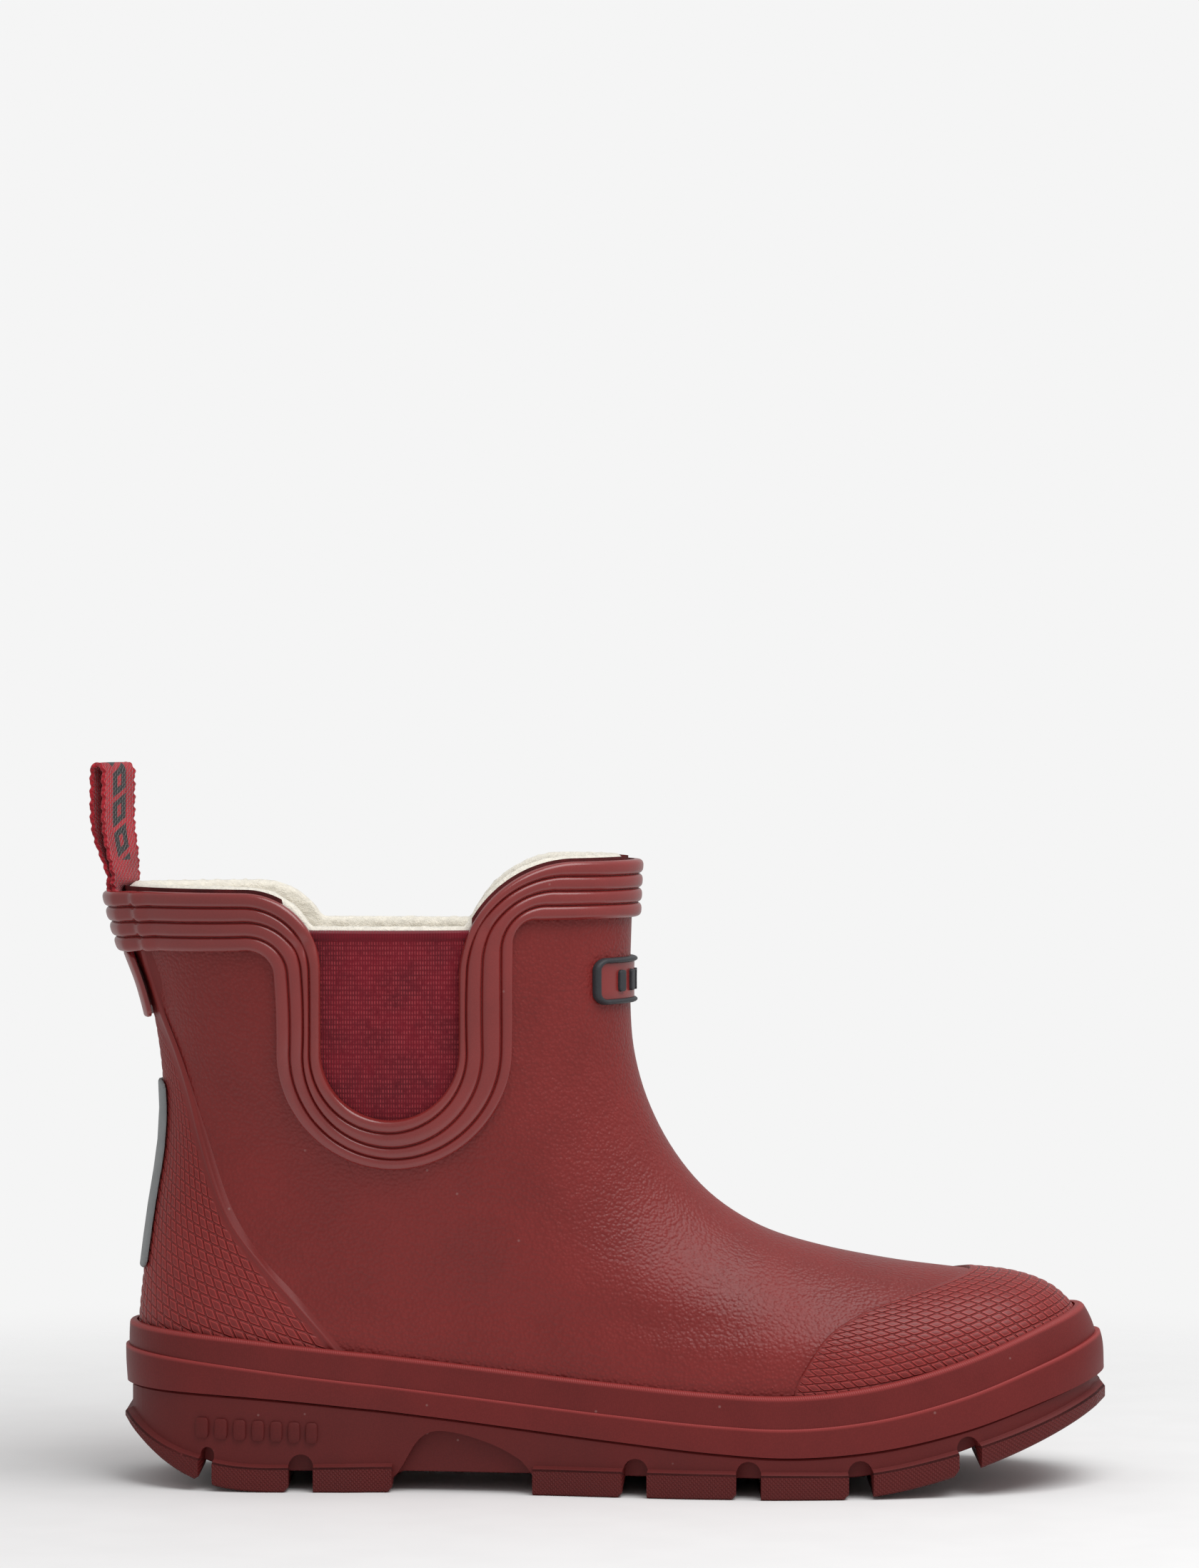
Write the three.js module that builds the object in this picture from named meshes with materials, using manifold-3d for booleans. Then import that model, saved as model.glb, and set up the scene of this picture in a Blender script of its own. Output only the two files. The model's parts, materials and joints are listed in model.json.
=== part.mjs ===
// A lined, ankle-high rubber rain boot with elastic side gores (right foot).
//
// The boot is drawn with its toe along +X, its lateral side along -Y and the ground at Z = 0, in millimetres.
// Every layer of the upper is an offset of one surface, the outside of the rubber shell. That surface is a
// sheet stretched between a back line, a front line, the feather line and the top line, so a point on it has
// a ring angle phi (0 at the back, 180 degrees at the front) and a rise t (0 at the sole, 1 at the top).
// Overlays are cut from offset layers by prisms that hold their outline as it is seen from the side.

import * as THREE from "three";
import { mergeVertices } from "three/addons/utils/BufferGeometryUtils.js";
import Module from "manifold-3d";

const wasm = await Module();
wasm.setup();

// ---------------------------------------------------------------- driving sizes, in millimetres
const BOOT_LENGTH = 284; // outsole, heel to toe
const BOOT_HEIGHT = 178.6; // ground to the top of the front collar
const WIDTH_SHARE = 1; // all widths together, 1 for a medium last

const GAP = 0.3; // clearance kept between touching pieces
const RUBBER = 1.6; // wall of the moulded rubber shell
const CANVAS = 0.5; // textile backing under the rubber
const FLEECE = 4.5; // pile lining
const OVERLAY = 1.0; // toe cap, heel counter and patch sheet
const STIFFENER = 1.2; // toe puff and heel stiffener

const BAND_WIDTH = 16.5; // ribbed collar band, edge to edge
const BAND_THICK = 2.4;
const GORE_WIDTH = 38.8; // elastic between the band's edges
const GORE_DEPTH = 53.6; // elastic, top edge to the bottom of the U
const GORE_DIP = 10.6; // gore's top edge below the back of the top line
const GORE_THICK = 2.2;
const BAND_OVERLAP = 4; // how far gore and shell reach under the band's edge

const FOXING_HEIGHT = 17; // mudguard strip, above the sole's top
const FOXING_THICK = 1.9;
const BUMPER_HEIGHT = 8; // outer strip on the foxing's lower part
const BUMPER_THICK = 1.2;

const BOARD_THICK = 2.0; // insole board
const FOOTBED_THICK = 5.0;
const FOOTBED_PLAY = 0.9; // footbed to lining
const TOE_LEAN = 2.4; // further play at the toe, where the lining leans in
const WALL_INSET = 1.4; // outsole wall, in from the bumper's face
const FLANGE_STEP = 2.2; // tread edge, out from the outsole wall
const LUG_DEPTH = 5.6; // channels between the lugs
const SHANK = { width: 14, length: 104, thick: 1.5, from: 36 };
const FILLER_WALL = 11; // rubber left round the heel's cavity

const TAPE_WIDTH = 15; // pull loop webbing
const TAPE_THICK = 1.2;
const LOOP_HEIGHT = 35; // from its root to its fold
const LOOP_GAP = 3; // inside the loop, between its strands
const LOOP_LEAN = 8; // backwards, in degrees
const LOOP_TURN = 30; // its front face turned to the lateral side, in degrees

const STRIP = { width: 19, low: 61, high: 115, thick: 0.7 }; // reflective strip on the heel
const PATCH = { width: 20, low: 134 }; // rubber patch over the loop's tail
const TAIL = { low: 136, thick: 0.8 }; // the loop's tail, pressed flat under the patch and the band
const BADGE = { width: 42, height: 13.4, middle: 144, thick: 1.0, rim: 1.9, rimWidth: 1.5 };
Object.assign(BADGE, { marks: 5, mark: 2.6, markHeight: 6, markThick: 0.6, pitch: 6.2 });

// ---------------------------------------------------------------- resolution
const AROUND = 36; // columns round the boot, an even number
const RISES = [0, 0.03, 0.065, 0.11, 0.17, 0.25, 0.34, 0.44, 0.57, 0.71, 0.86, 1]; // rows up the skin
const ARC_STEPS = 6; // points on each corner of the band
const LOW_ROWS = 0.08; // rise below which layers are offset level, so that they all stand on the sole

// ---------------------------------------------------------------- outlines
// Outline points are drawn for a boot of NOMINAL_LENGTH by NOMINAL_HEIGHT and stretch with the real one.
const NOMINAL_LENGTH = 284;
const NOMINAL_HEIGHT = 178.6;
const lengthwise = (x) => (x * BOOT_LENGTH) / NOMINAL_LENGTH;
const upward = (z) => (z * BOOT_HEIGHT) / NOMINAL_HEIGHT;
const mix = (a, b, k) => a + (b - a) * k;
const clamp01 = (k) => Math.min(1, Math.max(0, k));
const smooth = (k) => clamp01(k) ** 2 * (3 - 2 * clamp01(k));
const degrees = THREE.MathUtils.degToRad;

/** A smooth function through pairs of knots and values: cubic pieces with slopes taken from their neighbours. */
function through(knots, values) {
  const last = knots.length - 1;
  const slopes = knots.map((_, i) => {
    const a = Math.max(0, i - 1);
    const b = Math.min(last, i + 1);
    return (values[b] - values[a]) / (knots[b] - knots[a]);
  });
  return (k) => {
    let i = 0;
    while (i < last - 1 && k > knots[i + 1]) i++;
    const span = knots[i + 1] - knots[i];
    const u = clamp01((k - knots[i]) / span);
    return (
      values[i] * (1 + 2 * u) * (1 - u) ** 2 +
      slopes[i] * span * u * (1 - u) ** 2 +
      values[i + 1] * u * u * (3 - 2 * u) -
      slopes[i + 1] * span * u * u * (1 - u)
    );
  };
}

/** A curve through [x, z] points, whose parameter from 0 to 1 follows its length. */
function outline(points) {
  const along = [0];
  points.slice(1).forEach(([x, z], i) => along.push(along[i] + Math.hypot(x - points[i][0], z - points[i][1])));
  const knots = along.map((d) => d / along[along.length - 1]);
  const x = through(knots, points.map((p) => p[0]));
  const z = through(knots, points.map((p) => p[1]));
  return (k) => [x(k), z(k)];
}

const drawn = (points) => points.map(([x, z]) => [lengthwise(x), upward(z)]);

// Top of the outsole, where the upper meets it: high heel, low ball, sprung toe.
const soleTop = through(
  [0, 39, 92, 140, 186, 214, 240, 265, 284].map(lengthwise),
  [28.4, 26.7, 21.3, 15.8, 11.8, 13.2, 18.4, 26.2, 32.2],
);
// Lowest surface of the tread: a bevelled heel, a flat run on the ground and the toe's spring.
const HEEL_BEVEL = { height: 19.5, end: 50 };
const TOE_SPRING = { height: 24, start: 205 };
function treadLow(x) {
  const heel = clamp01(1 - x / lengthwise(HEEL_BEVEL.end));
  const toe = clamp01((x - lengthwise(TOE_SPRING.start)) / (BOOT_LENGTH - lengthwise(TOE_SPRING.start)));
  return HEEL_BEVEL.height * heel ** 3 + TOE_SPRING.height * toe ** 1.6;
}
// Height of the tread's outer edge, thin at the very back and at the toe.
const treadEdge = through([0, 28, 227, 284].map(lengthwise), [1.6, 6.2, 6.2, 3.8]);

const backLine = outline(
  drawn([
    [5.8, 29], [5.4, 44], [6.8, 60], [9.3, 79], [12.2, 98], [12.6, 112], [10.6, 130], [7.4, 143], [2.6, 156],
    [-0.4, 167], [-1.6, 174],
  ]),
);
const frontLine = outline(
  drawn([
    [278.4, 32.5], [277.6, 42], [274.4, 50], [268, 56.3], [258, 60], [242, 61.8], [222, 64.2], [200, 68.4],
    [184, 73.6], [170, 82.5], [159.5, 94.5], [151.8, 109], [147.6, 124], [146.5, 140], [146.8, 158], [147.8, 183],
  ]),
);

// Fullness of the upper, the half width divided by sin(phi), at six places from heel to toe.
const PLACES = [0, 0.2, 0.4, 0.6, 0.8, 1];
const LEVELS = [0, 0.125, 0.25, 0.5, 0.75, 1];
const FULLNESS = {
  lateral: [
    [61, 37.5, 36.7, 46.4, 53.8, 66],
    [58, 37.4, 34.2, 43.0, 51.0, 56],
    [54, 36.0, 32.4, 38.6, 45.5, 48],
    [45, 35.5, 33.5, 35.4, 38.5, 40],
    [42, 40.5, 38.6, 38.6, 39.4, 39],
    [42, 42.0, 40.2, 39.6, 40.0, 40],
  ],
  medial: [
    [61, 36.0, 29.6, 37.8, 52.0, 66],
    [58, 36.0, 29.8, 37.2, 49.5, 56],
    [54, 35.0, 30.0, 35.4, 45.0, 48],
    [45, 35.5, 33.5, 35.4, 38.5, 40],
    [42, 40.5, 38.6, 38.6, 39.4, 39],
    [42, 42.0, 40.2, 39.6, 40.0, 40],
  ],
};

/** Fullness of one side as a function of place s and rise t. */
function fullnessOf(rows) {
  const across = rows.map((row) => through(PLACES, row));
  return (s, t) => WIDTH_SHARE * through(LEVELS, across.map((f) => f(s)))(t);
}
const lateralFullness = fullnessOf(FULLNESS.lateral);
const medialFullness = fullnessOf(FULLNESS.medial);

const place = (phi) => (1 - Math.cos(phi)) / 2;

/** A point of the rubber shell's outer surface: a sheet between its four boundary lines, given its width. */
function skin(phi, t) {
  const s = place(phi);
  const [backX, backZ] = backLine(t);
  const [frontX, frontZ] = frontLine(t);
  const [heelX, heelZ] = backLine(0);
  const [toeX, toeZ] = frontLine(0);
  const footX = mix(heelX, toeX, s);
  const sag = (1 - t) * (soleTop(footX) - mix(heelZ, toeZ, s));
  const fullness = Math.sin(phi) > 0 ? lateralFullness(s, t) : medialFullness(s, t);
  return new THREE.Vector3(mix(backX, frontX, s), -Math.sin(phi) * fullness, mix(backZ, frontZ, s) + sag);
}

/** The same surface moved out along its normal. Near the sole it moves level, and its edge stays on the sole. */
function layer(phi, t, distance) {
  const step = 1e-3;
  const low = Math.min(1 - step, Math.max(0, t));
  const round = skin(phi + step, low).sub(skin(phi - step, low));
  const rise = skin(phi, low + step).sub(skin(phi, low));
  const normal = round.cross(rise).normalize();
  const level = 1 - smooth(t / LOW_ROWS);
  normal.z *= 1 - level;
  const start = skin(phi, t);
  const point = start.clone().addScaledVector(normal.normalize(), distance);
  point.z += level * (soleTop(point.x) - soleTop(start.x));
  return point;
}

/** The rise t at which the surface reaches a height, found by halving. */
function riseAt(phi, z) {
  let low = 0;
  let high = 1;
  for (let i = 0; i < 30; i++) {
    const middle = (low + high) / 2;
    if (skin(phi, middle).z < z) low = middle;
    else high = middle;
  }
  return (low + high) / 2;
}

// Half steps keep the columns symmetric, so that a cap can join column i to column AROUND - 1 - i.
const ringAngles = Array.from({ length: AROUND }, (_, i) => (2 * Math.PI * (i + 0.5)) / AROUND);

// ---------------------------------------------------------------- solids
/** A closed body through loops of points: the ends are capped, or joined when the loops go round. */
function loft(loops, goesRound = false) {
  const size = loops[0].length;
  const points = loops.flat().flatMap((p) => [p.x, p.y, p.z]);
  const faces = [];
  const at = (loop, k) => (loop % loops.length) * size + (k % size);
  const spans = goesRound ? loops.length : loops.length - 1;
  for (let i = 0; i < spans; i++) {
    for (let k = 0; k < size; k++) {
      const [a, b, c, d] = [at(i, k), at(i + 1, k), at(i + 1, k + 1), at(i, k + 1)];
      // Both faces of a wall are split along the same diagonal, so that neighbouring layers stay parallel.
      if (goesRound && k >= size / 2) faces.push(a, b, d, b, c, d);
      else faces.push(a, b, c, a, c, d);
    }
  }
  if (!goesRound) {
    for (let k = 0; k < size / 2 - 1; k++) {
      const opposite = size - 1 - k;
      const end = loops.length - 1;
      faces.push(at(0, k), at(0, k + 1), at(0, opposite - 1), at(0, k), at(0, opposite - 1), at(0, opposite));
      faces.push(at(end, k), at(end, opposite - 1), at(end, k + 1));
      faces.push(at(end, k), at(end, opposite), at(end, opposite - 1));
    }
  }
  const geometry = new THREE.BufferGeometry();
  geometry.setAttribute("position", new THREE.Float32BufferAttribute(points, 3));
  geometry.setIndex(faces);
  return solid(geometry);
}

/** A manifold-3d solid from a closed three.js geometry, turned so that its faces point out. */
function solid(geometry) {
  const bare = geometry.clone();
  bare.deleteAttribute("normal");
  bare.deleteAttribute("uv");
  const merged = mergeVertices(bare, 1e-4);
  const vertProperties = new Float32Array(merged.attributes.position.array);
  const triVerts = new Uint32Array(merged.index.array);
  const made = new wasm.Manifold(new wasm.Mesh({ numProp: 3, vertProperties, triVerts }));
  if (made.volume() >= 0) return made;
  return new wasm.Manifold(new wasm.Mesh({ numProp: 3, vertProperties, triVerts: triVerts.reverse() }));
}

/** The three.js geometry of a manifold-3d solid. */
function geometryOf(made) {
  const mesh = made.getMesh();
  const geometry = new THREE.BufferGeometry();
  geometry.setAttribute("position", new THREE.Float32BufferAttribute(mesh.vertProperties, 3));
  geometry.setIndex(new THREE.BufferAttribute(mesh.triVerts, 1));
  geometry.computeVertexNormals();
  return geometry;
}

/**
 * A wall that goes round the boot between two offsets of the skin, given as functions of place and height.
 * Every wall has its rows at the same rises, so that neighbours share their facets.
 */
function wall(outer, inner, from = 0, to = 1) {
  const rises = [from, ...RISES.filter((t) => t > from + 1e-6 && t < to - 1e-6), to];
  const loops = ringAngles.map((phi) => {
    const offset = (side) => (t) => layer(phi, t, side(place(phi), skin(phi, t).z));
    return [...rises.map(offset(outer)), ...[...rises].reverse().map(offset(inner))];
  });
  return loft(loops, true);
}

/** A plate that follows the sole's outline. levels are [plan offset, height as a function of x] pairs. */
function plate(levels) {
  const loops = levels.map(([offset, height]) =>
    ringAngles.map((phi) => {
      const point = planPoint(phi, typeof offset === "function" ? offset(place(phi)) : offset);
      return point.setZ(height(point.x));
    }),
  );
  return loft(loops);
}

/** A point of the feather line moved outwards in plan. */
function planPoint(phi, distance) {
  const step = 1e-3;
  const along = skin(phi + step, 0).sub(skin(phi - step, 0));
  const outward = new THREE.Vector3(-along.y, along.x, 0).normalize();
  const centreward = new THREE.Vector3(BOOT_LENGTH / 2, 0, 0).sub(skin(phi, 0)).setZ(0);
  if (outward.dot(centreward) > 0) outward.negate();
  return skin(phi, 0).addScaledVector(outward, distance);
}

const UP = new THREE.Vector3(0, 0, 1);
const FAR = 400; // beyond the boot in every direction

/** A prism along Y whose section is drawn from the side, as [x, z] points. */
function sidePrism(points, from = -FAR, to = FAR) {
  const shape = new THREE.Shape(points.map(([x, z]) => new THREE.Vector2(x, z)));
  const geometry = new THREE.ExtrudeGeometry(shape, { depth: to - from, bevelEnabled: false });
  geometry.rotateX(Math.PI / 2).translate(0, to, 0);
  return solid(geometry);
}

/** A prism along X with a rounded rectangle as its section, for pieces on the heel or the front. */
function frontPrism({ width, low, high, corner, middle = 0 }, from, to) {
  const [left, right] = [middle - width / 2 + corner, middle + width / 2 - corner];
  const points = [
    ...arc(right, low + corner, corner, -90, 0, 3),
    ...arc(right, high - corner, corner, 0, 90, 3),
    ...arc(left, high - corner, corner, 90, 180, 3),
    ...arc(left, low + corner, corner, 180, 270, 3),
  ];
  const shape = new THREE.Shape(points.map(([y, z]) => new THREE.Vector2(y, z)));
  const geometry = new THREE.ExtrudeGeometry(shape, { depth: to - from, bevelEnabled: false });
  geometry.rotateX(Math.PI / 2).rotateZ(Math.PI / 2).translate(from, 0, 0);
  return solid(geometry);
}

/** A plain block between two corners. */
function block(low, high) {
  const size = high.map((h, i) => h - low[i]);
  const geometry = new THREE.BoxGeometry(...size);
  geometry.translate(...low.map((l, i) => l + size[i] / 2));
  return solid(geometry);
}

// ---------------------------------------------------------------- the band's lines, seen from the side
const TOP_BACK = upward(170);
const TOP_FRONT = BOOT_HEIGHT;
const GORE_MIDDLE = lengthwise(78.3);
const GORE_TOP = TOP_BACK - GORE_DIP;
const CORNERS = { back: { edge: 22, inside: 6 }, front: { edge: 33, inside: 5 } };

/** Points of a quarter circle or half circle, from one angle to another in degrees. */
function arc(x, z, radius, from, to, steps = ARC_STEPS) {
  return Array.from({ length: steps + 1 }, (_, i) => {
    const angle = degrees(mix(from, to, i / steps));
    return [x + radius * Math.cos(angle), z + radius * Math.sin(angle)];
  });
}

/**
 * One line of the collar band from the back of the boot to the front. It follows the top, drops round the gore's
 * U and climbs again. inset is its distance into the band from the free edge.
 */
function bandLine(inset) {
  const share = inset / BAND_WIDTH;
  const back = Math.max(1, mix(CORNERS.back.edge, CORNERS.back.inside, share));
  const front = Math.max(1, mix(CORNERS.front.edge, CORNERS.front.inside, share));
  const reach = GORE_WIDTH / 2 + inset;
  const middle = GORE_TOP - GORE_DEPTH + GORE_WIDTH / 2;
  return [
    [-FAR / 2, TOP_BACK - inset],
    ...arc(GORE_MIDDLE - reach - back, TOP_BACK - inset - back, back, 90, 0),
    ...arc(GORE_MIDDLE, middle, reach, 180, 360, 2 * ARC_STEPS),
    ...arc(GORE_MIDDLE + reach + front, TOP_FRONT - inset - front, front, 180, 90),
    [FAR, TOP_FRONT - inset],
  ];
}

const aboveBandLine = (inset) => sidePrism([...bandLine(inset), [FAR, FAR], [-FAR / 2, FAR]]);
const bandRegion = () => sidePrism([...bandLine(0), ...bandLine(BAND_WIDTH).reverse()]);

/** The gore's U, grown by a margin under the band, on one side of the boot. */
function gorePrism(margin, top, side) {
  const reach = GORE_WIDTH / 2 + margin;
  const middle = GORE_TOP - GORE_DEPTH + GORE_WIDTH / 2;
  const u = arc(GORE_MIDDLE, middle, reach, 180, 360, 2 * ARC_STEPS);
  const points = [[GORE_MIDDLE - reach, top], ...u, [GORE_MIDDLE + reach, top]];
  return side < 0 ? sidePrism(points, -FAR, 0) : sidePrism(points, 0, FAR);
}

// ---------------------------------------------------------------- other outlines, seen from the side
const CAP_LINE = drawn([
  [189, 0], [192.6, 29.2], [196.4, 37.3], [202.9, 45.4], [213, 51], [223.8, 54.7], [237, 58], [243.4, 60.2],
  [246.5, 66], [247, 90],
]);
const COUNTER_LINE = drawn([
  [64, 10], [61.7, 42], [52.9, 52], [42.8, 63.3], [34.1, 74.7], [29.5, 84.5], [25, 98.7], [21.3, 113.2],
  [17.5, 124.7], [11.7, 138.9], [7.6, 153.7], [6.6, 178],
]);
const PUFF_LINE = drawn([[222, 0], [236, 44], [250, 90]]);
const STIFFENER_LINE = drawn([[66, 0], [56, 44], [36, 70], [-40, 74]]);
const toTheFront = (points) => sidePrism([[FAR, -FAR], [FAR, FAR], ...[...points].reverse()]);
const toTheBack = (points) => sidePrism([[-FAR / 2, 0], ...points, [-FAR / 2, upward(178)]]);

/** Everything above or below a height that is given along the boot. */
const alongBoot = Array.from({ length: 25 }, (_, i) => lengthwise(-12 + i * 12.6));
const above = (height) => sidePrism([...alongBoot.map((x) => [x, height(x)]), [FAR, FAR], [-FAR / 2, FAR]]);
const below = (height) => sidePrism([[-FAR / 2, -FAR], [FAR, -FAR], ...alongBoot.map((x) => [x, height(x)]).reverse()]);
const onSole = (height) => (x) => soleTop(x) + height;

/** How much the cap and the counter lift what lies over them, at a place along the foot. */
function liftAt(s) {
  const heel = 1 - smooth((s - 0.3) / 0.06);
  const toe = smooth((s - 0.56) / 0.06);
  return (OVERLAY + GAP) * Math.max(heel, toe);
}

// ---------------------------------------------------------------- the upper's layers
// Offsets from the shell's outer face, inwards.
const CANVAS_OUT = -RUBBER - GAP;
const CANVAS_IN = CANVAS_OUT - CANVAS;
const STIFF_OUT = CANVAS_IN - GAP;
const STIFF_IN = STIFF_OUT - STIFFENER;
const BOARD_TOP = GAP + BOARD_THICK;
const CANVAS_DROP = 0.4; // canvas below the band's free edge
const WINDOW = BAND_OVERLAP; // shell and canvas stop this far outside the gore
const LINING_SEAM = 0.44; // rise of the seam between the sock and the leg lining
const SEAM_SHARE = 0.003;
const STIFFENER_TOP = 78;

const constant = (value) => () => value;
const windows = () => gorePrism(WINDOW, FAR, -1).add(gorePrism(WINDOW, FAR, 1));

const upperShell = () => wall(constant(0), constant(-RUBBER)).subtract(aboveBandLine(BAND_OVERLAP));
const canvasBacking = () =>
  wall(constant(CANVAS_OUT), constant(CANVAS_IN)).subtract(aboveBandLine(CANVAS_DROP)).subtract(windows());

/** The lining stands off the shell where a stiffener lies behind it. */
function liningOffset(s, z) {
  const low = 1 - smooth((z - upward(STIFFENER_TOP)) / 14);
  const heel = 1 - smooth((s - 0.36) / 0.06);
  const toe = smooth((s - 0.62) / 0.06);
  return STIFF_OUT - (STIFFENER + GAP) * low * Math.max(heel, toe);
}
const liningWall = (from, to) => wall(liningOffset, (s, z) => liningOffset(s, z) - FLEECE, from, to);
const sockLining = () => liningWall(0, LINING_SEAM).intersect(above(onSole(BOARD_TOP + 2 * GAP)));

function legLining() {
  const margin = 3 * BAND_OVERLAP;
  const keep = gorePrism(margin, GORE_TOP - GAP, -1).add(gorePrism(margin, GORE_TOP - GAP, 1));
  return liningWall(LINING_SEAM + SEAM_SHARE, 1).subtract(aboveBandLine(GAP).subtract(keep));
}

const stiffenerWall = () =>
  wall(constant(STIFF_OUT), constant(STIFF_IN), 0, 0.6).intersect(above(onSole(BOARD_TOP + 2 * GAP)));
const toePuff = () => stiffenerWall().intersect(toTheFront(PUFF_LINE));
const heelStiffener = () => stiffenerWall().intersect(toTheBack(STIFFENER_LINE));

/** A gore fills its window through shell and canvas. */
const gore = (side) =>
  wall(constant(-0.2), constant(-0.2 - GORE_THICK), 0.3).intersect(gorePrism(BAND_OVERLAP - GAP, GORE_TOP, side));

// ---------------------------------------------------------------- overlays
const COUNTER_OUT = GAP + OVERLAY;
const overlay = () => wall(constant(COUNTER_OUT), constant(GAP));
const toeCap = () => overlay().intersect(toTheFront(CAP_LINE));
const heelCounter = () =>
  overlay().intersect(toTheBack(COUNTER_LINE)).intersect(below(() => TOP_BACK - BAND_WIDTH * 0.4));

// Behind the band the loop's tail lies on the counter, and the patch covers the tail's lower end.
const TAIL_IN = COUNTER_OUT + GAP;
const TAIL_OUT = TAIL_IN + TAIL.thick;

/** A thin wall at the back or the front, cut to a rounded rectangle. */
function tile(size, inner, outer, atFront = false) {
  const [from, to] = atFront ? [BOOT_LENGTH / 3, FAR] : [-FAR / 2, BOOT_LENGTH / 8];
  return wall(outer, inner, 0.1).intersect(frontPrism(size, from, to));
}

const loopTail = () =>
  tile(
    { width: TAPE_WIDTH, low: upward(TAIL.low), high: TOP_BACK - CANVAS_DROP, corner: 0.5 },
    constant(TAIL_IN),
    constant(TAIL_OUT),
  );
const loopPatch = () =>
  tile(
    { width: PATCH.width, low: upward(PATCH.low), high: TOP_BACK - BAND_WIDTH - GAP, corner: 1.5 },
    constant(TAIL_OUT + GAP),
    constant(TAIL_OUT + GAP + OVERLAY),
  );
const reflectiveStrip = () =>
  tile(
    { width: STRIP.width, low: upward(STRIP.low), high: upward(STRIP.high), corner: 3 },
    constant(TAIL_IN),
    constant(TAIL_IN + STRIP.thick),
  );

/** The badge's outline, drawn in from its edge. */
const badgeSize = (inset) => ({
  width: BADGE.width - 2 * inset,
  low: upward(BADGE.middle) - BADGE.height / 2 + inset,
  high: upward(BADGE.middle) + BADGE.height / 2 - inset,
  corner: 3.4 - inset,
});
const BADGE_TOP = GAP + BADGE.thick;
const badgeBase = () => tile(badgeSize(BADGE.rimWidth + GAP), constant(GAP), constant(BADGE_TOP), true);
const badgeRim = () => {
  const hole = frontPrism(badgeSize(BADGE.rimWidth), BOOT_LENGTH / 3, FAR);
  return tile(badgeSize(0), constant(GAP), constant(GAP + BADGE.rim), true).subtract(hole);
};

/** One of the raised marks on the badge: plain bars in a row. */
function badgeMark(index) {
  const height = upward(BADGE.middle);
  const size = {
    width: BADGE.mark,
    low: height - BADGE.markHeight / 2,
    high: height + BADGE.markHeight / 2,
    corner: 0.6,
    middle: (index - (BADGE.marks - 1) / 2) * BADGE.pitch,
  };
  return tile(size, constant(BADGE_TOP + GAP), constant(BADGE_TOP + GAP + BADGE.markThick), true);
}

/** The ribbed band, lifted over the counter and the loop's tail at the back. */
function collarBand() {
  const lift = (s, z) => {
    if (s > 0.5) return 0;
    const y = Math.abs(skinHalfWidth(s, z));
    return (OVERLAY + GAP) * (1 - smooth((y - 18) / 4)) + (TAIL.thick + GAP) * (1 - smooth((y - 11) / 5));
  };
  const body = wall((s, z) => GAP + BAND_THICK + lift(s, z), (s, z) => GAP + lift(s, z), 0.25);
  return body.intersect(bandRegion());
}

/** Half width of the shell at a place and a height. */
function skinHalfWidth(s, z) {
  const phi = Math.acos(1 - 2 * s);
  return skin(phi, riseAt(phi, z)).y;
}

// ---------------------------------------------------------------- the bottom
// The strips' heights above the sole, as shares of their heights at the ball.
const PLACES_ALONG = [0, 60, 190, 265, 284].map(lengthwise);
const foxingShare = through(PLACES_ALONG, [1.04, 0.92, 1.0, 1.21, 1.22]);
const bumperShare = through(PLACES_ALONG, [1.32, 0.9, 1.0, 1.3, 1.42]);
const FOXING_OUT = GAP + FOXING_THICK;
const BUMPER_OUT = FOXING_OUT + GAP + BUMPER_THICK;

/** A strip round the upper's lower edge, up to a height above the sole. */
function strip(inner, outer, height) {
  const body = wall((s) => liftAt(s) + outer, (s) => liftAt(s) + inner, 0, 0.25);
  return body.intersect(below((x) => soleTop(x) + height(x)));
}
const foxing = () => strip(GAP, FOXING_OUT, (x) => FOXING_HEIGHT * foxingShare(x));
const bumper = () => strip(FOXING_OUT + GAP, BUMPER_OUT, (x) => BUMPER_HEIGHT * bumperShare(x));

const BOARD_EDGE = STIFF_OUT - 0.2;
const footbedEdge = (s) => liningOffset(s, 0) - FLEECE - FOOTBED_PLAY - TOE_LEAN * smooth((s - 0.5) / 0.2);
const insoleBoard = () => plate([[BOARD_EDGE, onSole(GAP)], [BOARD_EDGE, onSole(BOARD_TOP)]]);
const footbed = () =>
  plate([
    [footbedEdge, onSole(BOARD_TOP + GAP)],
    [footbedEdge, onSole(BOARD_TOP + GAP + FOOTBED_THICK)],
  ]);

// Channels across the tread, at [middle, width], and the waist that doesn't touch the ground.
const CHANNELS = [[25.5, 4], [52.8, 7], [147.2, 7], [179.3, 7], [211, 7], [242, 6.4]];
const WAIST = [78.6, 118.5];
const NOTCH_DEPTH = 3; // how far the notches reach into the side wall
const NOTCH_RISE = 4; // notch above the tread's edge
const CENTRE_CHANNEL = 9;

/** A slot with a round top, drawn from the side. */
const roundTopped = (x, width, top) => [
  [x - width / 2, -FAR],
  [x + width / 2, -FAR],
  ...arc(x, top - width / 2, width / 2, 0, 180, 6),
];

const wallOffset = (s) => liftAt(s) + BUMPER_OUT - WALL_INSET;

/** What lies outside the outsole's wall less a depth: it keeps the notches shallow. */
function nearWall(depth) {
  const inside = plate([
    [(s) => wallOffset(s) - depth, constant(-FAR)],
    [(s) => wallOffset(s) - depth, constant(FAR)],
  ]);
  return block([-FAR / 2, -FAR, -FAR / 2], [FAR, FAR, FAR / 2]).subtract(inside);
}

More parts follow.
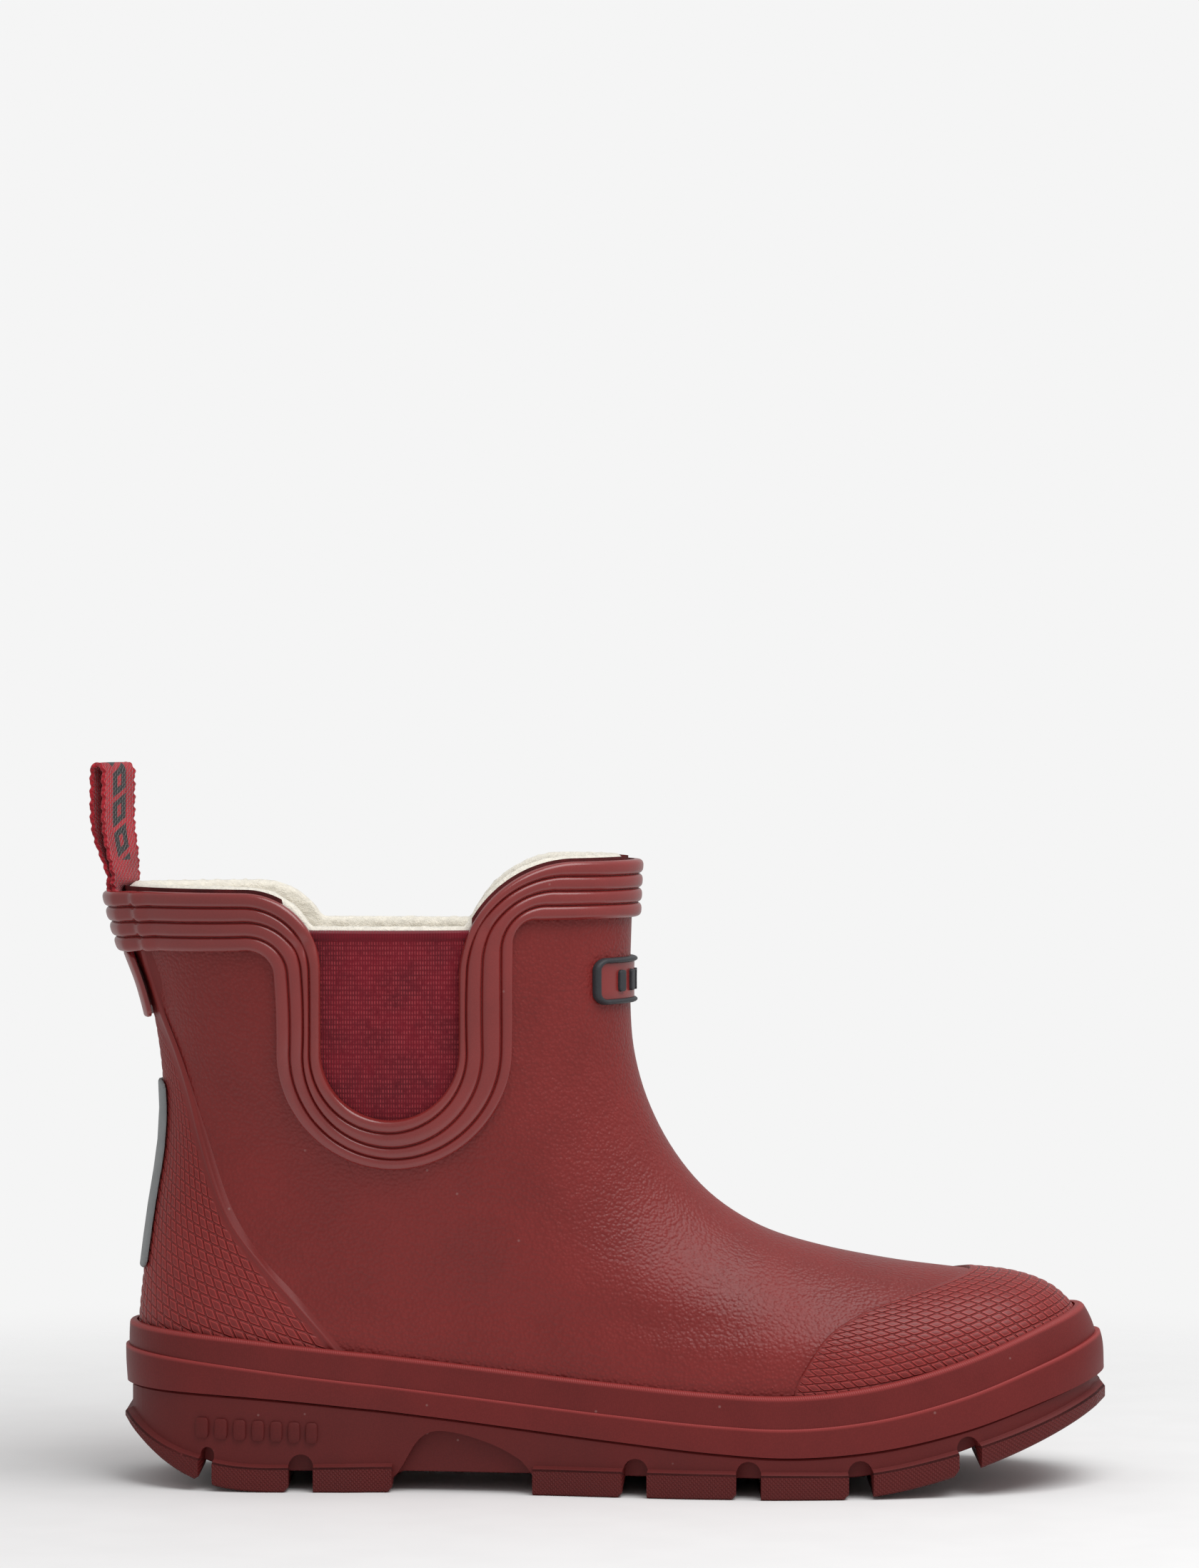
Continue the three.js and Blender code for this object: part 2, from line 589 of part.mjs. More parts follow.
function outsole() {
  const flange = (s) => wallOffset(s) + FLANGE_STEP;
  const body = plate([
    [(s) => flange(s) - 1, treadLow],
    [flange, (x) => treadLow(x) + treadEdge(x)],
    [wallOffset, (x) => treadLow(x) + treadEdge(x) + 1],
    [wallOffset, onSole(-GAP)],
  ]);
  const shallow = nearWall(NOTCH_DEPTH);
  const [waistBack, waistFront] = WAIST.map(lengthwise);
  const waist = [[waistBack, -FAR], [waistFront, -FAR], [waistFront - 2, LUG_DEPTH], [waistBack + 3, LUG_DEPTH]];
  const arch = [[WAIST[0], -9], [WAIST[1], -9], [115, 9.5], [105, 14.6], [92, 17.5], [86, 15], [80.5, 6]];
  let cuts = sidePrism(waist).add(sidePrism(arch.map(([x, z]) => [lengthwise(x), z])).intersect(shallow));
  for (const [x, width] of CHANNELS) {
    const middle = lengthwise(x);
    const low = treadLow(middle);
    cuts = cuts.add(sidePrism(roundTopped(middle, width, low + LUG_DEPTH)));
    const notch = sidePrism(roundTopped(middle, width, low + treadEdge(middle) + NOTCH_RISE));
    cuts = cuts.add(notch.intersect(shallow));
  }
  const centre = [[20, -FAR], [250, -FAR], [250, LUG_DEPTH + 8], [215, LUG_DEPTH], [30, LUG_DEPTH], [20, 3]];
  const half = CENTRE_CHANNEL / 2;
  const groove = sidePrism(centre.map(([x, z]) => [lengthwise(x), z]), -half, half);
  return body.subtract(cuts.add(groove)).subtract(cavity(0));
}

// The outsole's cavity, open at the top, holds a foam filler, and the shank lies in the filler's groove.
const CAVITY = { floor: 9, from: 4, to: 150 };
function cavity(margin) {
  const edge = (s) => wallOffset(s) - FILLER_WALL - margin;
  const body = plate([
    [edge, (x) => treadLow(x) + CAVITY.floor + margin],
    [edge, margin ? onSole(-GAP) : onSole(FAR / 8)],
  ]);
  const low = lengthwise(CAVITY.from) + margin;
  const high = lengthwise(CAVITY.to) - margin;
  return body.intersect(block([low, -FAR, -FAR], [high, FAR, FAR]));
}

/** The shank follows the sole's top from the heel to the ball, in a groove of its own. */
function shank(margin) {
  const steps = 8;
  const half = SHANK.width / 2 + margin;
  const from = lengthwise(SHANK.from) - margin;
  const loops = Array.from({ length: steps + 1 }, (_, i) => {
    const x = mix(from, from + SHANK.length + 2 * margin, i / steps);
    const low = soleTop(x) - GAP - SHANK.thick - margin;
    const top = margin ? soleTop(x) + FAR : soleTop(x) - GAP;
    return [[-half, low], [half, low], [half, top], [-half, top]].map(([y, z]) => new THREE.Vector3(x, y, z));
  });
  return loft(loops);
}
const soleFiller = () => cavity(GAP).subtract(shank(GAP));

// ---------------------------------------------------------------- the pull loop
const FOOT = TAPE_THICK + 0.1; // radius of the loop's round foot, which lies on the hinge line
const ROOT = { x: 1.2, z: FOOT + 0.1 }; // hinge line, from the shell's back and the band's top

/** One side of the loop's section, from its foot to the start of the fold. */
function strand(foot, shift) {
  const spread = LOOP_GAP / 2 + TAPE_THICK;
  const fold = LOOP_HEIGHT - spread;
  const line = outline([foot, [shift - spread * 0.8, 8], [shift - spread, fold / 2], [shift - spread, fold]]);
  return Array.from({ length: 9 }, (_, i) => line(i / 8));
}

/** The free loop: two strands of webbing and a fold, turned further the higher they stand. */
function pullLoop() {
  const spread = LOOP_GAP / 2 + TAPE_THICK;
  const fold = LOOP_HEIGHT - spread;
  const ring = (side, radius) => [
    ...side,
    ...arc(0, fold, radius, 180, 0).slice(1, -1),
    ...side.map(([x, z]) => [-x, z]).reverse(),
  ];
  const foot = arc(0, 0, FOOT, 0, -180, 6).slice(1, -1);
  const outside = sidePrism([...ring(strand([-FOOT, 0], 0), spread), ...foot], -TAPE_WIDTH / 2, TAPE_WIDTH / 2);
  const inside = sidePrism(ring(strand([-0.2, 3.5], TAPE_THICK), spread - TAPE_THICK));
  const geometry = geometryOf(outside.subtract(inside));
  const points = geometry.getAttribute("position");
  for (let i = 0; i < points.count; i++) {
    const turn = -degrees(LOOP_TURN) * smooth((points.getZ(i) - FOOT) / 12);
    const point = new THREE.Vector3().fromBufferAttribute(points, i).applyAxisAngle(UP, turn);
    points.setXYZ(i, ...point);
  }
  return solid(geometry);
}

// ---------------------------------------------------------------- the boot
const material = (color, roughness, metalness = 0) => new THREE.MeshStandardMaterial({ color, roughness, metalness });
const rubberRed = material(0x7a2b2b, 0.55);
const soleRed = material(0x7a2b2b, 0.6);
const elasticRed = material(0x76091f, 0.9);
const canvasRed = material(0x6d1f22, 0.95);
const cream = material(0xe9e4d4, 1);
const webbingRed = material(0xa3202f, 0.9);
const black = material(0x2b2c30, 0.6);
const silver = material(0x8c8f90, 0.4);
const boardBrown = material(0xb59c78, 0.9);
const foam = material(0xd9d4c8, 0.95);
const steel = material(0xb8bcc0, 0.35, 1);

const boot = new THREE.Group();
function add(name, made, finish) {
  const mesh = new THREE.Mesh(geometryOf(made), finish);
  mesh.name = name;
  boot.add(mesh);
  return mesh;
}

add("upper_shell", upperShell(), rubberRed);
add("canvas_backing", canvasBacking(), canvasRed);
add("sock_lining", sockLining(), cream);
add("leg_lining", legLining(), cream);
add("toe_puff", toePuff(), boardBrown);
add("heel_stiffener", heelStiffener(), boardBrown);
add("lateral_gore", gore(-1), elasticRed);
add("medial_gore", gore(1), elasticRed);
add("toe_cap", toeCap(), rubberRed);
add("heel_counter", heelCounter(), rubberRed);
add("collar_band", collarBand(), rubberRed);
add("foxing_strip", foxing(), soleRed);
add("bumper_strip", bumper(), soleRed);
add("outsole", outsole(), soleRed);
add("sole_filler", soleFiller(), foam);
add("shank", shank(0), steel);
add("insole_board", insoleBoard(), boardBrown);
add("footbed", footbed(), cream);
add("loop_tail", loopTail(), webbingRed);
add("loop_patch", loopPatch(), rubberRed);
add("reflective_strip", reflectiveStrip(), silver);
add("badge_base", badgeBase(), rubberRed);
add("badge_rim", badgeRim(), black);
for (let i = 0; i < BADGE.marks; i++) add(`badge_mark_${i + 1}`, badgeMark(i), black);

const loop = add("pull_loop", pullLoop(), webbingRed);
const back = skin(0, riseAt(0, TOP_BACK));
loop.position.set(back.x + ROOT.x, 0, TOP_BACK + ROOT.z);
loop.rotation.y = -degrees(LOOP_LEAN);

// The part's frame has its origin on the ground, under the middle of the boot's box.
boot.updateMatrixWorld(true);
const box = new THREE.Box3().setFromObject(boot, true);
const middle = box.getCenter(new THREE.Vector3());
boot.position.set(-middle.x, -middle.y, -box.min.z);

export default boot;
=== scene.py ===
"""A lined, ankle-high rubber rain boot with elastic side gores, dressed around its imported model.

Lengths are millimetres in the boot's own axes: the toe along +X, the lateral side along -Y, the ground at Z = 0
and the back of the outsole at X = 0. place() takes them to metres in the model's frame. Every layer of the upper
is an offset of one surface, the outside of the rubber shell, which the class Skin works out.
"""

import json
import logging
import math
from dataclasses import dataclass
from enum import Enum
from typing import Callable, Sequence

import bpy
import numpy as np
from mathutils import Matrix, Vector

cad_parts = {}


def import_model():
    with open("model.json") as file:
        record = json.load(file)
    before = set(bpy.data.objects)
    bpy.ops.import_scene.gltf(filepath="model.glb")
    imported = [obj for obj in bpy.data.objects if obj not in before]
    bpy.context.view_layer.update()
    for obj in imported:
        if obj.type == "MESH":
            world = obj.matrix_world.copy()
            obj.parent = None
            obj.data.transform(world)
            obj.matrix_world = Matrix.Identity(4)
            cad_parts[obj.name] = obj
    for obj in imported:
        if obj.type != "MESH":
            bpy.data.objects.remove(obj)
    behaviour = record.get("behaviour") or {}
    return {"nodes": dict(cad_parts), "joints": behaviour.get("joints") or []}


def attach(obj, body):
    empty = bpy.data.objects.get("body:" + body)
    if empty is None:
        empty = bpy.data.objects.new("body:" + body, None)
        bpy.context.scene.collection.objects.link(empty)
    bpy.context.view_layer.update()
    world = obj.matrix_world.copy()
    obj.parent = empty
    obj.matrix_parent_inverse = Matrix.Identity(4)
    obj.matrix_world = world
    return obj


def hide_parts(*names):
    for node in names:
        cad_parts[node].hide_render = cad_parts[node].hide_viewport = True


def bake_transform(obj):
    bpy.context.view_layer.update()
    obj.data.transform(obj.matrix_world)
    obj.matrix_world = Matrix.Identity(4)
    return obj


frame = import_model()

log = logging.getLogger("boot")
Array = np.ndarray
Profile = Callable[[Array], Array]

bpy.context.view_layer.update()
HINGE_RECORD_MM = np.array(frame["joints"][0]["pos_m"]) * 1000.0

# ---------------------------------------------------------------- the boot's sizes
SOLE_LENGTH = 284.0
TOP_BACK = 170.0
TOP_FRONT = 178.6
BAND_WIDTH = 16.5
GORE_WIDTH = 38.8
GORE_DEPTH = 53.6
GORE_MIDDLE = 78.3
GORE_TOP = TOP_BACK - 10.6
GORE_CENTRE = GORE_TOP - GORE_DEPTH + GORE_WIDTH / 2  # height of the centre of the gore's round bottom
BAND_OVERLAP = 4.0
REAR_CORNER = (22.0, 6.0)  # radii of the band's corners, at its free edge and at its inner edge
FRONT_CORNER = (33.0, 5.0)
OVERLAY_LIFT = 1.3  # the cap and the counter lift what lies over them
ROOT_X = 1.2  # the pull loop's hinge, in front of the shell's back
LINING_SEAM = 0.44
WALL_OFFSET = 2.3  # outsole wall, out from the feather line
FLANGE_STEP = 2.2
LUG_DEPTH = 5.6
NOTCH_DEPTH = 3.0
CHANNELS = [(25.5, 4.0), (52.8, 7.0), (147.2, 7.0), (179.3, 7.0), (211.0, 7.0), (242.0, 6.4)]
WAIST = (78.6, 118.5)
RIM_DROP = 0.3  # the outsole's rim below the feather line
CORE_FLOOR = 8.8  # the filler's cavity above the tread


def smooth(k: Array) -> Array:
    """Smoothstep from 0 to 1, flat outside."""
    k = np.clip(k, 0.0, 1.0)
    return k * k * (3 - 2 * k)


def mix(a: Array, b: Array, k: Array) -> Array:
    """Straight mix of a and b."""
    return a + (b - a) * k


def squared(wave: Array, power: float) -> Array:
    """A sine or cosine of a superellipse: sign(wave) |wave| ^ power."""
    return np.sign(wave) * np.abs(wave) ** power


def bell(k: Array, centre: Array, width: float) -> Array:
    """A bell curve of height 1: exp(-((k - centre) / width) ^ 2)."""
    return np.exp(-(((k - centre) / width) ** 2))


def through(knots: Sequence[float], values: Array, k: Array) -> Array:
    """Smooth curve through knots: cubic Hermite pieces whose slopes come from the neighbouring knots.

    Args:
        knots: increasing parameters.
        values: one value for each knot, or one array for each knot, of the same shape as k.
        k: where to work the curve out; it stays level past the ends.

    Returns:
        The curve's values, shaped like k.
    """
    knots = np.asarray(knots, float)
    values = np.asarray(values, float)
    k = np.clip(np.asarray(k, float), knots[0], knots[-1])
    after = np.minimum(np.arange(len(knots)) + 1, len(knots) - 1)
    before = np.maximum(np.arange(len(knots)) - 1, 0)
    gaps = (knots[after] - knots[before]).reshape((-1,) + (1,) * (values.ndim - 1))
    slopes = (values[after] - values[before]) / gaps
    i = np.clip(np.searchsorted(knots, k, side="right") - 1, 0, len(knots) - 2)
    span = knots[i + 1] - knots[i]
    u = (k - knots[i]) / span

    def pick(table: Array, at: Array) -> Array:
        """Each point's entry of a table."""
        return table[at] if table.ndim == 1 else np.take_along_axis(table, at[None], 0)[0]

    return (
        pick(values, i) * (1 + 2 * u) * (1 - u) ** 2
        + pick(slopes, i) * span * u * (1 - u) ** 2
        + pick(values, i + 1) * u * u * (3 - 2 * u)
        - pick(slopes, i + 1) * span * u * u * (1 - u)
    )


def outline(points: Sequence[tuple[float, float]]) -> Callable[[Array], tuple[Array, Array]]:
    """A curve through (x, z) points, whose parameter from 0 to 1 follows its length."""
    drawn = np.array(points, float)
    along = np.concatenate([[0], np.cumsum(np.hypot(*np.diff(drawn, axis=0).T))])
    knots = along / along[-1]
    return lambda k: (through(knots, drawn[:, 0], k), through(knots, drawn[:, 1], k))


HALVINGS = 19


def solve(under: Callable[[Array], Array], shape: tuple[int, ...], low: float = 0.0, high: float = 1.0) -> Array:
    """Halve an interval for a whole array: under(k) says where the answer lies above k."""
    a, b = np.full(shape, low), np.full(shape, high)
    for _ in range(HALVINGS):
        middle = (a + b) / 2
        above = under(middle)
        a, b = np.where(above, middle, a), np.where(above, b, middle)
    return (a + b) / 2


def sole_top(x: Array) -> Array:
    """Height of the outsole's top: high heel, low ball, sprung toe."""
    return through(
        [0, 39, 92, 140, 186, 214, 240, 265, 284], [28.4, 26.7, 21.3, 15.8, 11.8, 13.2, 18.4, 26.2, 32.2], x
    )


def tread_low(x: Array) -> Array:
    """Lowest surface of the tread: a bevelled heel, a flat run on the ground and the toe's spring."""
    return 19.5 * np.clip(1 - x / 50, 0, 1) ** 3 + 24 * np.clip((x - 205) / 79, 0, 1) ** 1.6


def tread_edge(x: Array) -> Array:
    """Height of the tread's outer edge above its lowest surface."""
    return through([0, 28, 227, 284], [1.6, 6.2, 6.2, 3.8], x)


def place_of(phi: Array) -> Array:
    """The place s from back to front of a ring angle."""
    return (1 - np.cos(phi)) / 2


class Side(Enum):
    """The two sides of the boot, by the sign of y."""

    LATERAL = -1
    MEDIAL = 1

    def angle(self, phi: Array) -> Array:
        """A ring angle of the lateral half, turned to this side."""
        return phi if self is Side.LATERAL else 2 * math.pi - phi


class Skin:
    """The outside of the rubber shell: a sheet between a back line, a front line, the sole and the top.

    A point has a ring angle phi (0 at the back, pi at the front, up to pi on the lateral side) and a rise t from
    0 at the sole to 1 at the top. Its place s = (1 - cos phi) / 2 runs from back to front, x and z are mixed
    between the two lines by s, and y is -sin(phi) times a fullness that depends on s and t.
    """

    PLACES = [0, 0.2, 0.4, 0.6, 0.8, 1]
    LEVELS = [0, 0.125, 0.25, 0.5, 0.75, 1]
    UPPER_ROWS = [[45, 35.5, 33.5, 35.4, 38.5, 40], [42, 40.5, 38.6, 38.6, 39.4, 39], [42, 42, 40.2, 39.6, 40, 40]]
    FULLNESS = {
        Side.LATERAL: [[61, 37.5, 36.7, 46.4, 53.8, 66], [58, 37.4, 34.2, 43, 51, 56], [54, 36, 32.4, 38.6, 45.5, 48]]
        + UPPER_ROWS,
        Side.MEDIAL: [[61, 36, 29.6, 37.8, 52, 66], [58, 36, 29.8, 37.2, 49.5, 56], [54, 35, 30, 35.4, 45, 48]]
        + UPPER_ROWS,
    }
    LEVEL_RISE = 0.08  # below this rise the sheet's layers turn level
    STEP = 1e-3
    ROUNDS = 8  # of near()
    MIDDLE = np.array([142.0, 0.0, 0.0])

    def __init__(self) -> None:
        """Draws the back line and the front line."""
        self.back = outline(
            [(5.8, 29), (5.4, 44), (6.8, 60), (9.3, 79), (12.2, 98), (12.6, 112), (10.6, 130), (7.4, 143)]
            + [(2.6, 156), (-0.4, 167), (-1.6, 174)]
        )
        self.front = outline(
            [(278.4, 32.5), (277.6, 42), (274.4, 50), (268, 56.3), (258, 60), (242, 61.8), (222, 64.2), (200, 68.4)]
            + [(184, 73.6), (170, 82.5), (159.5, 94.5), (151.8, 109), (147.6, 124), (146.5, 140), (146.8, 158)]
            + [(147.8, 183)]
        )
        self.heel = [float(v) for v in self.back(np.array(0.0))]
        self.toe = [float(v) for v in self.front(np.array(0.0))]

    def fullness(self, side: Side, s: Array, t: Array) -> Array:
        """Half width divided by sin(phi), from the table of places and levels."""
        rows = np.stack([through(self.PLACES, row, s) for row in self.FULLNESS[side]])
        return through(self.LEVELS, rows, t)

    def point(self, phi: Array, t: Array) -> Array:
        """Points of the sheet, with a last axis of x, y and z."""
        phi, t = np.broadcast_arrays(np.asarray(phi, float), np.asarray(t, float))
        s = place_of(phi)
        (back_x, back_z), (front_x, front_z) = self.back(t), self.front(t)
        foot = mix(self.heel[0], self.toe[0], s)
        sag = (1 - t) * (sole_top(foot) - mix(self.heel[1], self.toe[1], s))
        full = np.where(np.sin(phi) > 0, self.fullness(Side.LATERAL, s, t), self.fullness(Side.MEDIAL, s, t))
        return np.stack([mix(back_x, front_x, s), -np.sin(phi) * full, mix(back_z, front_z, s) + sag], axis=-1)

    def layer(self, phi: Array, t: Array, distance: Array) -> Array:
        """The sheet moved out along its normal. Near the sole it moves level, and its edge stays on the sole."""
        phi, t, distance = np.broadcast_arrays(*(np.asarray(v, float) for v in (phi, t, distance)))
        low = np.clip(t, 0, 1 - self.STEP)
        around = self.point(phi + self.STEP, low) - self.point(phi - self.STEP, low)
        rise = self.point(phi, low + self.STEP) - self.point(phi, low)
        normal = np.cross(around, rise)
        normal /= np.linalg.norm(normal, axis=-1, keepdims=True)
        level = 1 - smooth(t / self.LEVEL_RISE)
        normal[..., 2] *= 1 - level
        normal /= np.linalg.norm(normal, axis=-1, keepdims=True)
        start = self.point(phi, t)
        moved = start + normal * distance[..., None]
        moved[..., 2] += level * (sole_top(moved[..., 0]) - sole_top(start[..., 0]))
        return moved

    def rise(self, phi: Array, height: Profile, distance: Array = 0.0) -> Array:
        """The rise at which an offset of the sheet reaches a height that is given as a function of x."""
        phi = np.asarray(phi, float)

        def under(t: Array) -> Array:
            """Whether the offset is still below the height."""
            p = self.layer(phi, t, distance) if np.any(distance) else self.point(phi, t)
            return p[..., 2] < height(p[..., 0])

        return solve(under, phi.shape)

    def find(self, x: Array, z: Array, side: Side) -> tuple[Array, Array]:
        """Ring angle and rise of the points seen at (x, z) from one side."""

        def place(t: Array) -> Array:
            """Ring angle of x at each rise."""
            back_x, front_x = self.back(t)[0], self.front(t)[0]
            return np.arccos(1 - 2 * np.clip((x - back_x) / (front_x - back_x), 0, 1))

        t = solve(lambda k: self.point(place(k), k)[..., 2] < z, np.shape(x))
        return side.angle(place(t)), t

    def near(self, y: Array, z: Array, front: bool) -> tuple[Array, Array]:
        """Ring angle and rise of the points at (y, z) on the back or the front."""
        centre = math.pi if front else 0.0
        sign = 1.0 if front else -1.0
        phi = np.full(np.shape(y), centre)
        for _ in range(self.ROUNDS):
            t = self.rise(phi, lambda x: z)
            s = place_of(phi)
            phi = centre + sign * np.arcsin(np.clip(y / self.fullness(Side.LATERAL, s, t), -1, 1))
        return phi, self.rise(phi, lambda x: z)

    def plan(self, phi: Array, distance: Array) -> Array:
        """The feather line moved outwards in plan, as points with z on that line."""
        along = self.point(phi + self.STEP, 0.0) - self.point(phi - self.STEP, 0.0)
        outward = np.stack([-along[..., 1], along[..., 0], np.zeros(along.shape[:-1])], axis=-1)
        outward /= np.linalg.norm(outward, axis=-1, keepdims=True)
        start = self.point(phi, 0.0)
        inward = (outward * (self.MIDDLE - start)).sum(-1, keepdims=True) > 0
        return start + np.where(inward, -outward, outward) * np.asarray(distance, float)[..., None]


SKIN = Skin()
BACK_AT_TOP = float(SKIN.point(0.0, SKIN.rise(np.zeros(1), lambda x: TOP_BACK))[0, 0])
HINGE = np.array([BACK_AT_TOP + ROOT_X, 0.0, HINGE_RECORD_MM[2]])
SHIFT = HINGE_RECORD_MM - HINGE


def place(points: Array) -> Array:
    """Points in the boot's millimetres, as metres in the model's frame."""
    return (points + SHIFT) / 1000.0


# ---------------------------------------------------------------- meshes
def ripple(points: Array, size: float, seed: int, octaves: int = 3) -> Array:
    """Repeatable soft noise from -1 to 1: sums of sine waves along random directions.

    Args:
        points: places in mm, with a last axis of x, y and z.
        size: the longest wave, in mm.
        seed: picks the directions.
        octaves: how many times the wave is halved.

    Returns:
        One value for each point.
    """
    random = np.random.default_rng(seed)
    total = np.zeros(points.shape[:-1])
    for octave in range(octaves):
        waves = random.normal(size=(5, 3))
        waves *= 2 * math.pi * 2**octave / size / np.linalg.norm(waves, axis=1, keepdims=True)
        phases = random.uniform(0, 2 * math.pi, 5)
        total += np.sin(points @ waves.T + phases).sum(-1) / 5 / 1.6**octave
    return total


def grid_uv(u: Array, v: Array) -> Array:
    """UV grid in mm from u along the rows and v along the columns."""
    return np.stack(np.broadcast_arrays(u[:, None], v[None, :]), axis=-1)


def solid(
    name: str,
    loops: Array,
    uv: Array | None = None,
    wrap: bool = False,
    crease: float = 40.0,
    relief: Array | None = None,
) -> bpy.types.Object:
    """A closed mesh through loops of points.

    Args:
        name: the piece's name.
        loops: (rows, columns, 3) points in mm; each row is a closed loop of an even number of points.
        uv: (rows, columns + 1, 2), with one more row when wrap is set, in mm.
        wrap: joins the last row to the first; otherwise each end is capped, column k to its mirror image.
        crease: faces that meet at more than this angle, in degrees, keep a sharp edge.
        relief: (rows, columns) strength of the finish's relief, kept as a point attribute.

    Returns:
        The new object, with its faces pointing out.
    """
    rows, columns, _ = loops.shape
    at = np.arange(rows * columns).reshape(rows, columns)
    at = np.concatenate([at, at[:1]]) if wrap else at
    at = np.concatenate([at, at[:, :1]], axis=1)
    corner = np.arange(at.size).reshape(at.shape)

    def quads_of(table: Array) -> Array:
        """Faces of a table of vertices or corners, its caps included."""
        inner = np.stack([table[:-1, :-1], table[1:, :-1], table[1:, 1:], table[:-1, 1:]], axis=-1).reshape(-1, 4)
        if wrap:
            return inner
        k = np.arange(columns // 2 - 1)
        far = columns - 1 - k
        first, last = table[0], table[-1]
        start = np.stack([first[k], first[k + 1], first[far - 1], first[far]], axis=-1)
        end = np.stack([last[k], last[far], last[far - 1], last[k + 1]], axis=-1)
        return np.concatenate([inner, start, end])

    quads, corners = quads_of(at), quads_of(corner)
    points = place(loops.reshape(-1, 3))
    a, b, c, d = (points[quads[:, i]] for i in range(4))
    volume = (a * np.cross(b, c)).sum() + (a * np.cross(c, d)).sum()
    if volume < 0:
        quads, corners = quads[:, ::-1], corners[:, ::-1]
    mesh = bpy.data.meshes.new(name)
    mesh.vertices.add(len(points))
    mesh.vertices.foreach_set("co", points.astype(np.float32).ravel())
    mesh.loops.add(quads.size)
    mesh.loops.foreach_set("vertex_index", quads.astype(np.int32).ravel())
    mesh.polygons.add(len(quads))
    mesh.polygons.foreach_set("loop_start", np.arange(0, quads.size, 4, dtype=np.int32))
    mesh.polygons.foreach_set("loop_total", np.full(len(quads), 4, dtype=np.int32))
    mesh.polygons.foreach_set("use_smooth", np.ones(len(quads), dtype=bool))
    mesh.update(calc_edges=True)
    if uv is not None:
        layer = mesh.uv_layers.new(name="surface")
        layer.data.foreach_set("uv", uv.reshape(-1, 2)[corners.ravel()].astype(np.float32).ravel())
    if relief is not None:
        strength = mesh.attributes.new("relief", "FLOAT", "POINT")
        strength.data.foreach_set("value", relief.astype(np.float32).ravel())
    mesh.set_sharp_from_angle(angle=math.radians(crease))
    piece = bpy.data.objects.new(name, mesh)
    bpy.context.scene.collection.objects.link(piece)
    return piece


def evened(loops: Array) -> Array:
    """Loops with one point added at the end where their number of points is odd."""
    return loops if loops.shape[1] % 2 == 0 else np.concatenate([loops, (loops[:, -1:] + loops[:, :1]) / 2], axis=1)


def ring_angles(count: int) -> Array:
    """Evenly spread angles round the boot, at half steps."""
    return 2 * math.pi * (np.arange(count) + 0.5) / count


def around_mm(phi: Array, t: float) -> Array:
    """Arc length round the boot at one rise, from the first angle, with the closing angle added."""
    full = np.append(phi, phi[0] + 2 * math.pi)
    points = SKIN.point(full, t)
    return np.concatenate([[0], np.cumsum(np.linalg.norm(np.diff(points, axis=0), axis=1))])


# ---------------------------------------------------------------- node trees
Socket = bpy.types.NodeSocket
Value = float | Sequence[float] | Socket


class Graph:
    """Adds nodes to a tree and links them, so that a finish reads like a formula."""

    def __init__(self, tree: bpy.types.NodeTree) -> None:
        """Keeps the tree that nodes are added to."""
        self.tree = tree

    def node(self, kind: str, inputs: dict[str | int, Value] | None = None, **settings: object) -> bpy.types.Node:
        """Adds a node, sets its own settings, and sets or links its inputs by name or number."""
        made = self.tree.nodes.new(kind)
        for key, value in settings.items():
            setattr(made, key, value)
        for key, value in (inputs or {}).items():
            self.feed(made.inputs[key], value)
        return made

    def feed(self, socket: Socket, value: Value) -> None:
        """Links a socket to its source, or sets its value."""
        if isinstance(value, bpy.types.NodeSocket):
            self.tree.links.new(value, socket)
        else:
            socket.default_value = value

    def split(self, vector: Socket) -> tuple[Socket, Socket]:
        """The first two coordinates of a vector."""
        made = self.node("ShaderNodeSeparateXYZ", {0: vector})
        return made.outputs[0], made.outputs[1]

    def math(self, operation: str, a: Value, b: Value = 0.0, c: Value = 0.0, clamp: bool = False) -> Socket:
        """A Math node's result."""
        return self.node("ShaderNodeMath", {0: a, 1: b, 2: c}, operation=operation, use_clamp=clamp).outputs[0]

    def span(self, value: Value, low: float, high: float, to_low: float = 0.0, to_high: float = 1.0) -> Socket:
        """A smooth step of value from low to high."""
        inputs = {"Value": value, "From Min": low, "From Max": high, "To Min": to_low, "To Max": to_high}
        return self.node("ShaderNodeMapRange", inputs, interpolation_type="SMOOTHSTEP").outputs["Result"]

    def blend(self, factor: Value, a: Value, b: Value) -> Socket:
        """A mix of two colours."""
        made = self.node("ShaderNodeMix", {0: factor, 6: a, 7: b}, data_type="RGBA")
        return made.outputs[2]

    def noise(self, vector: Socket, scale: Value, detail: float = 2.0, roughness: float = 0.5) -> Socket:
        """A Noise Texture's value."""
        inputs = {"Vector": vector, "Scale": scale, "Detail": detail, "Roughness": roughness}
        return self.node("ShaderNodeTexNoise", inputs).outputs["Fac"]


GroupBuilder = Callable[["Graph", dict[str, Socket]], dict[str, Socket]]


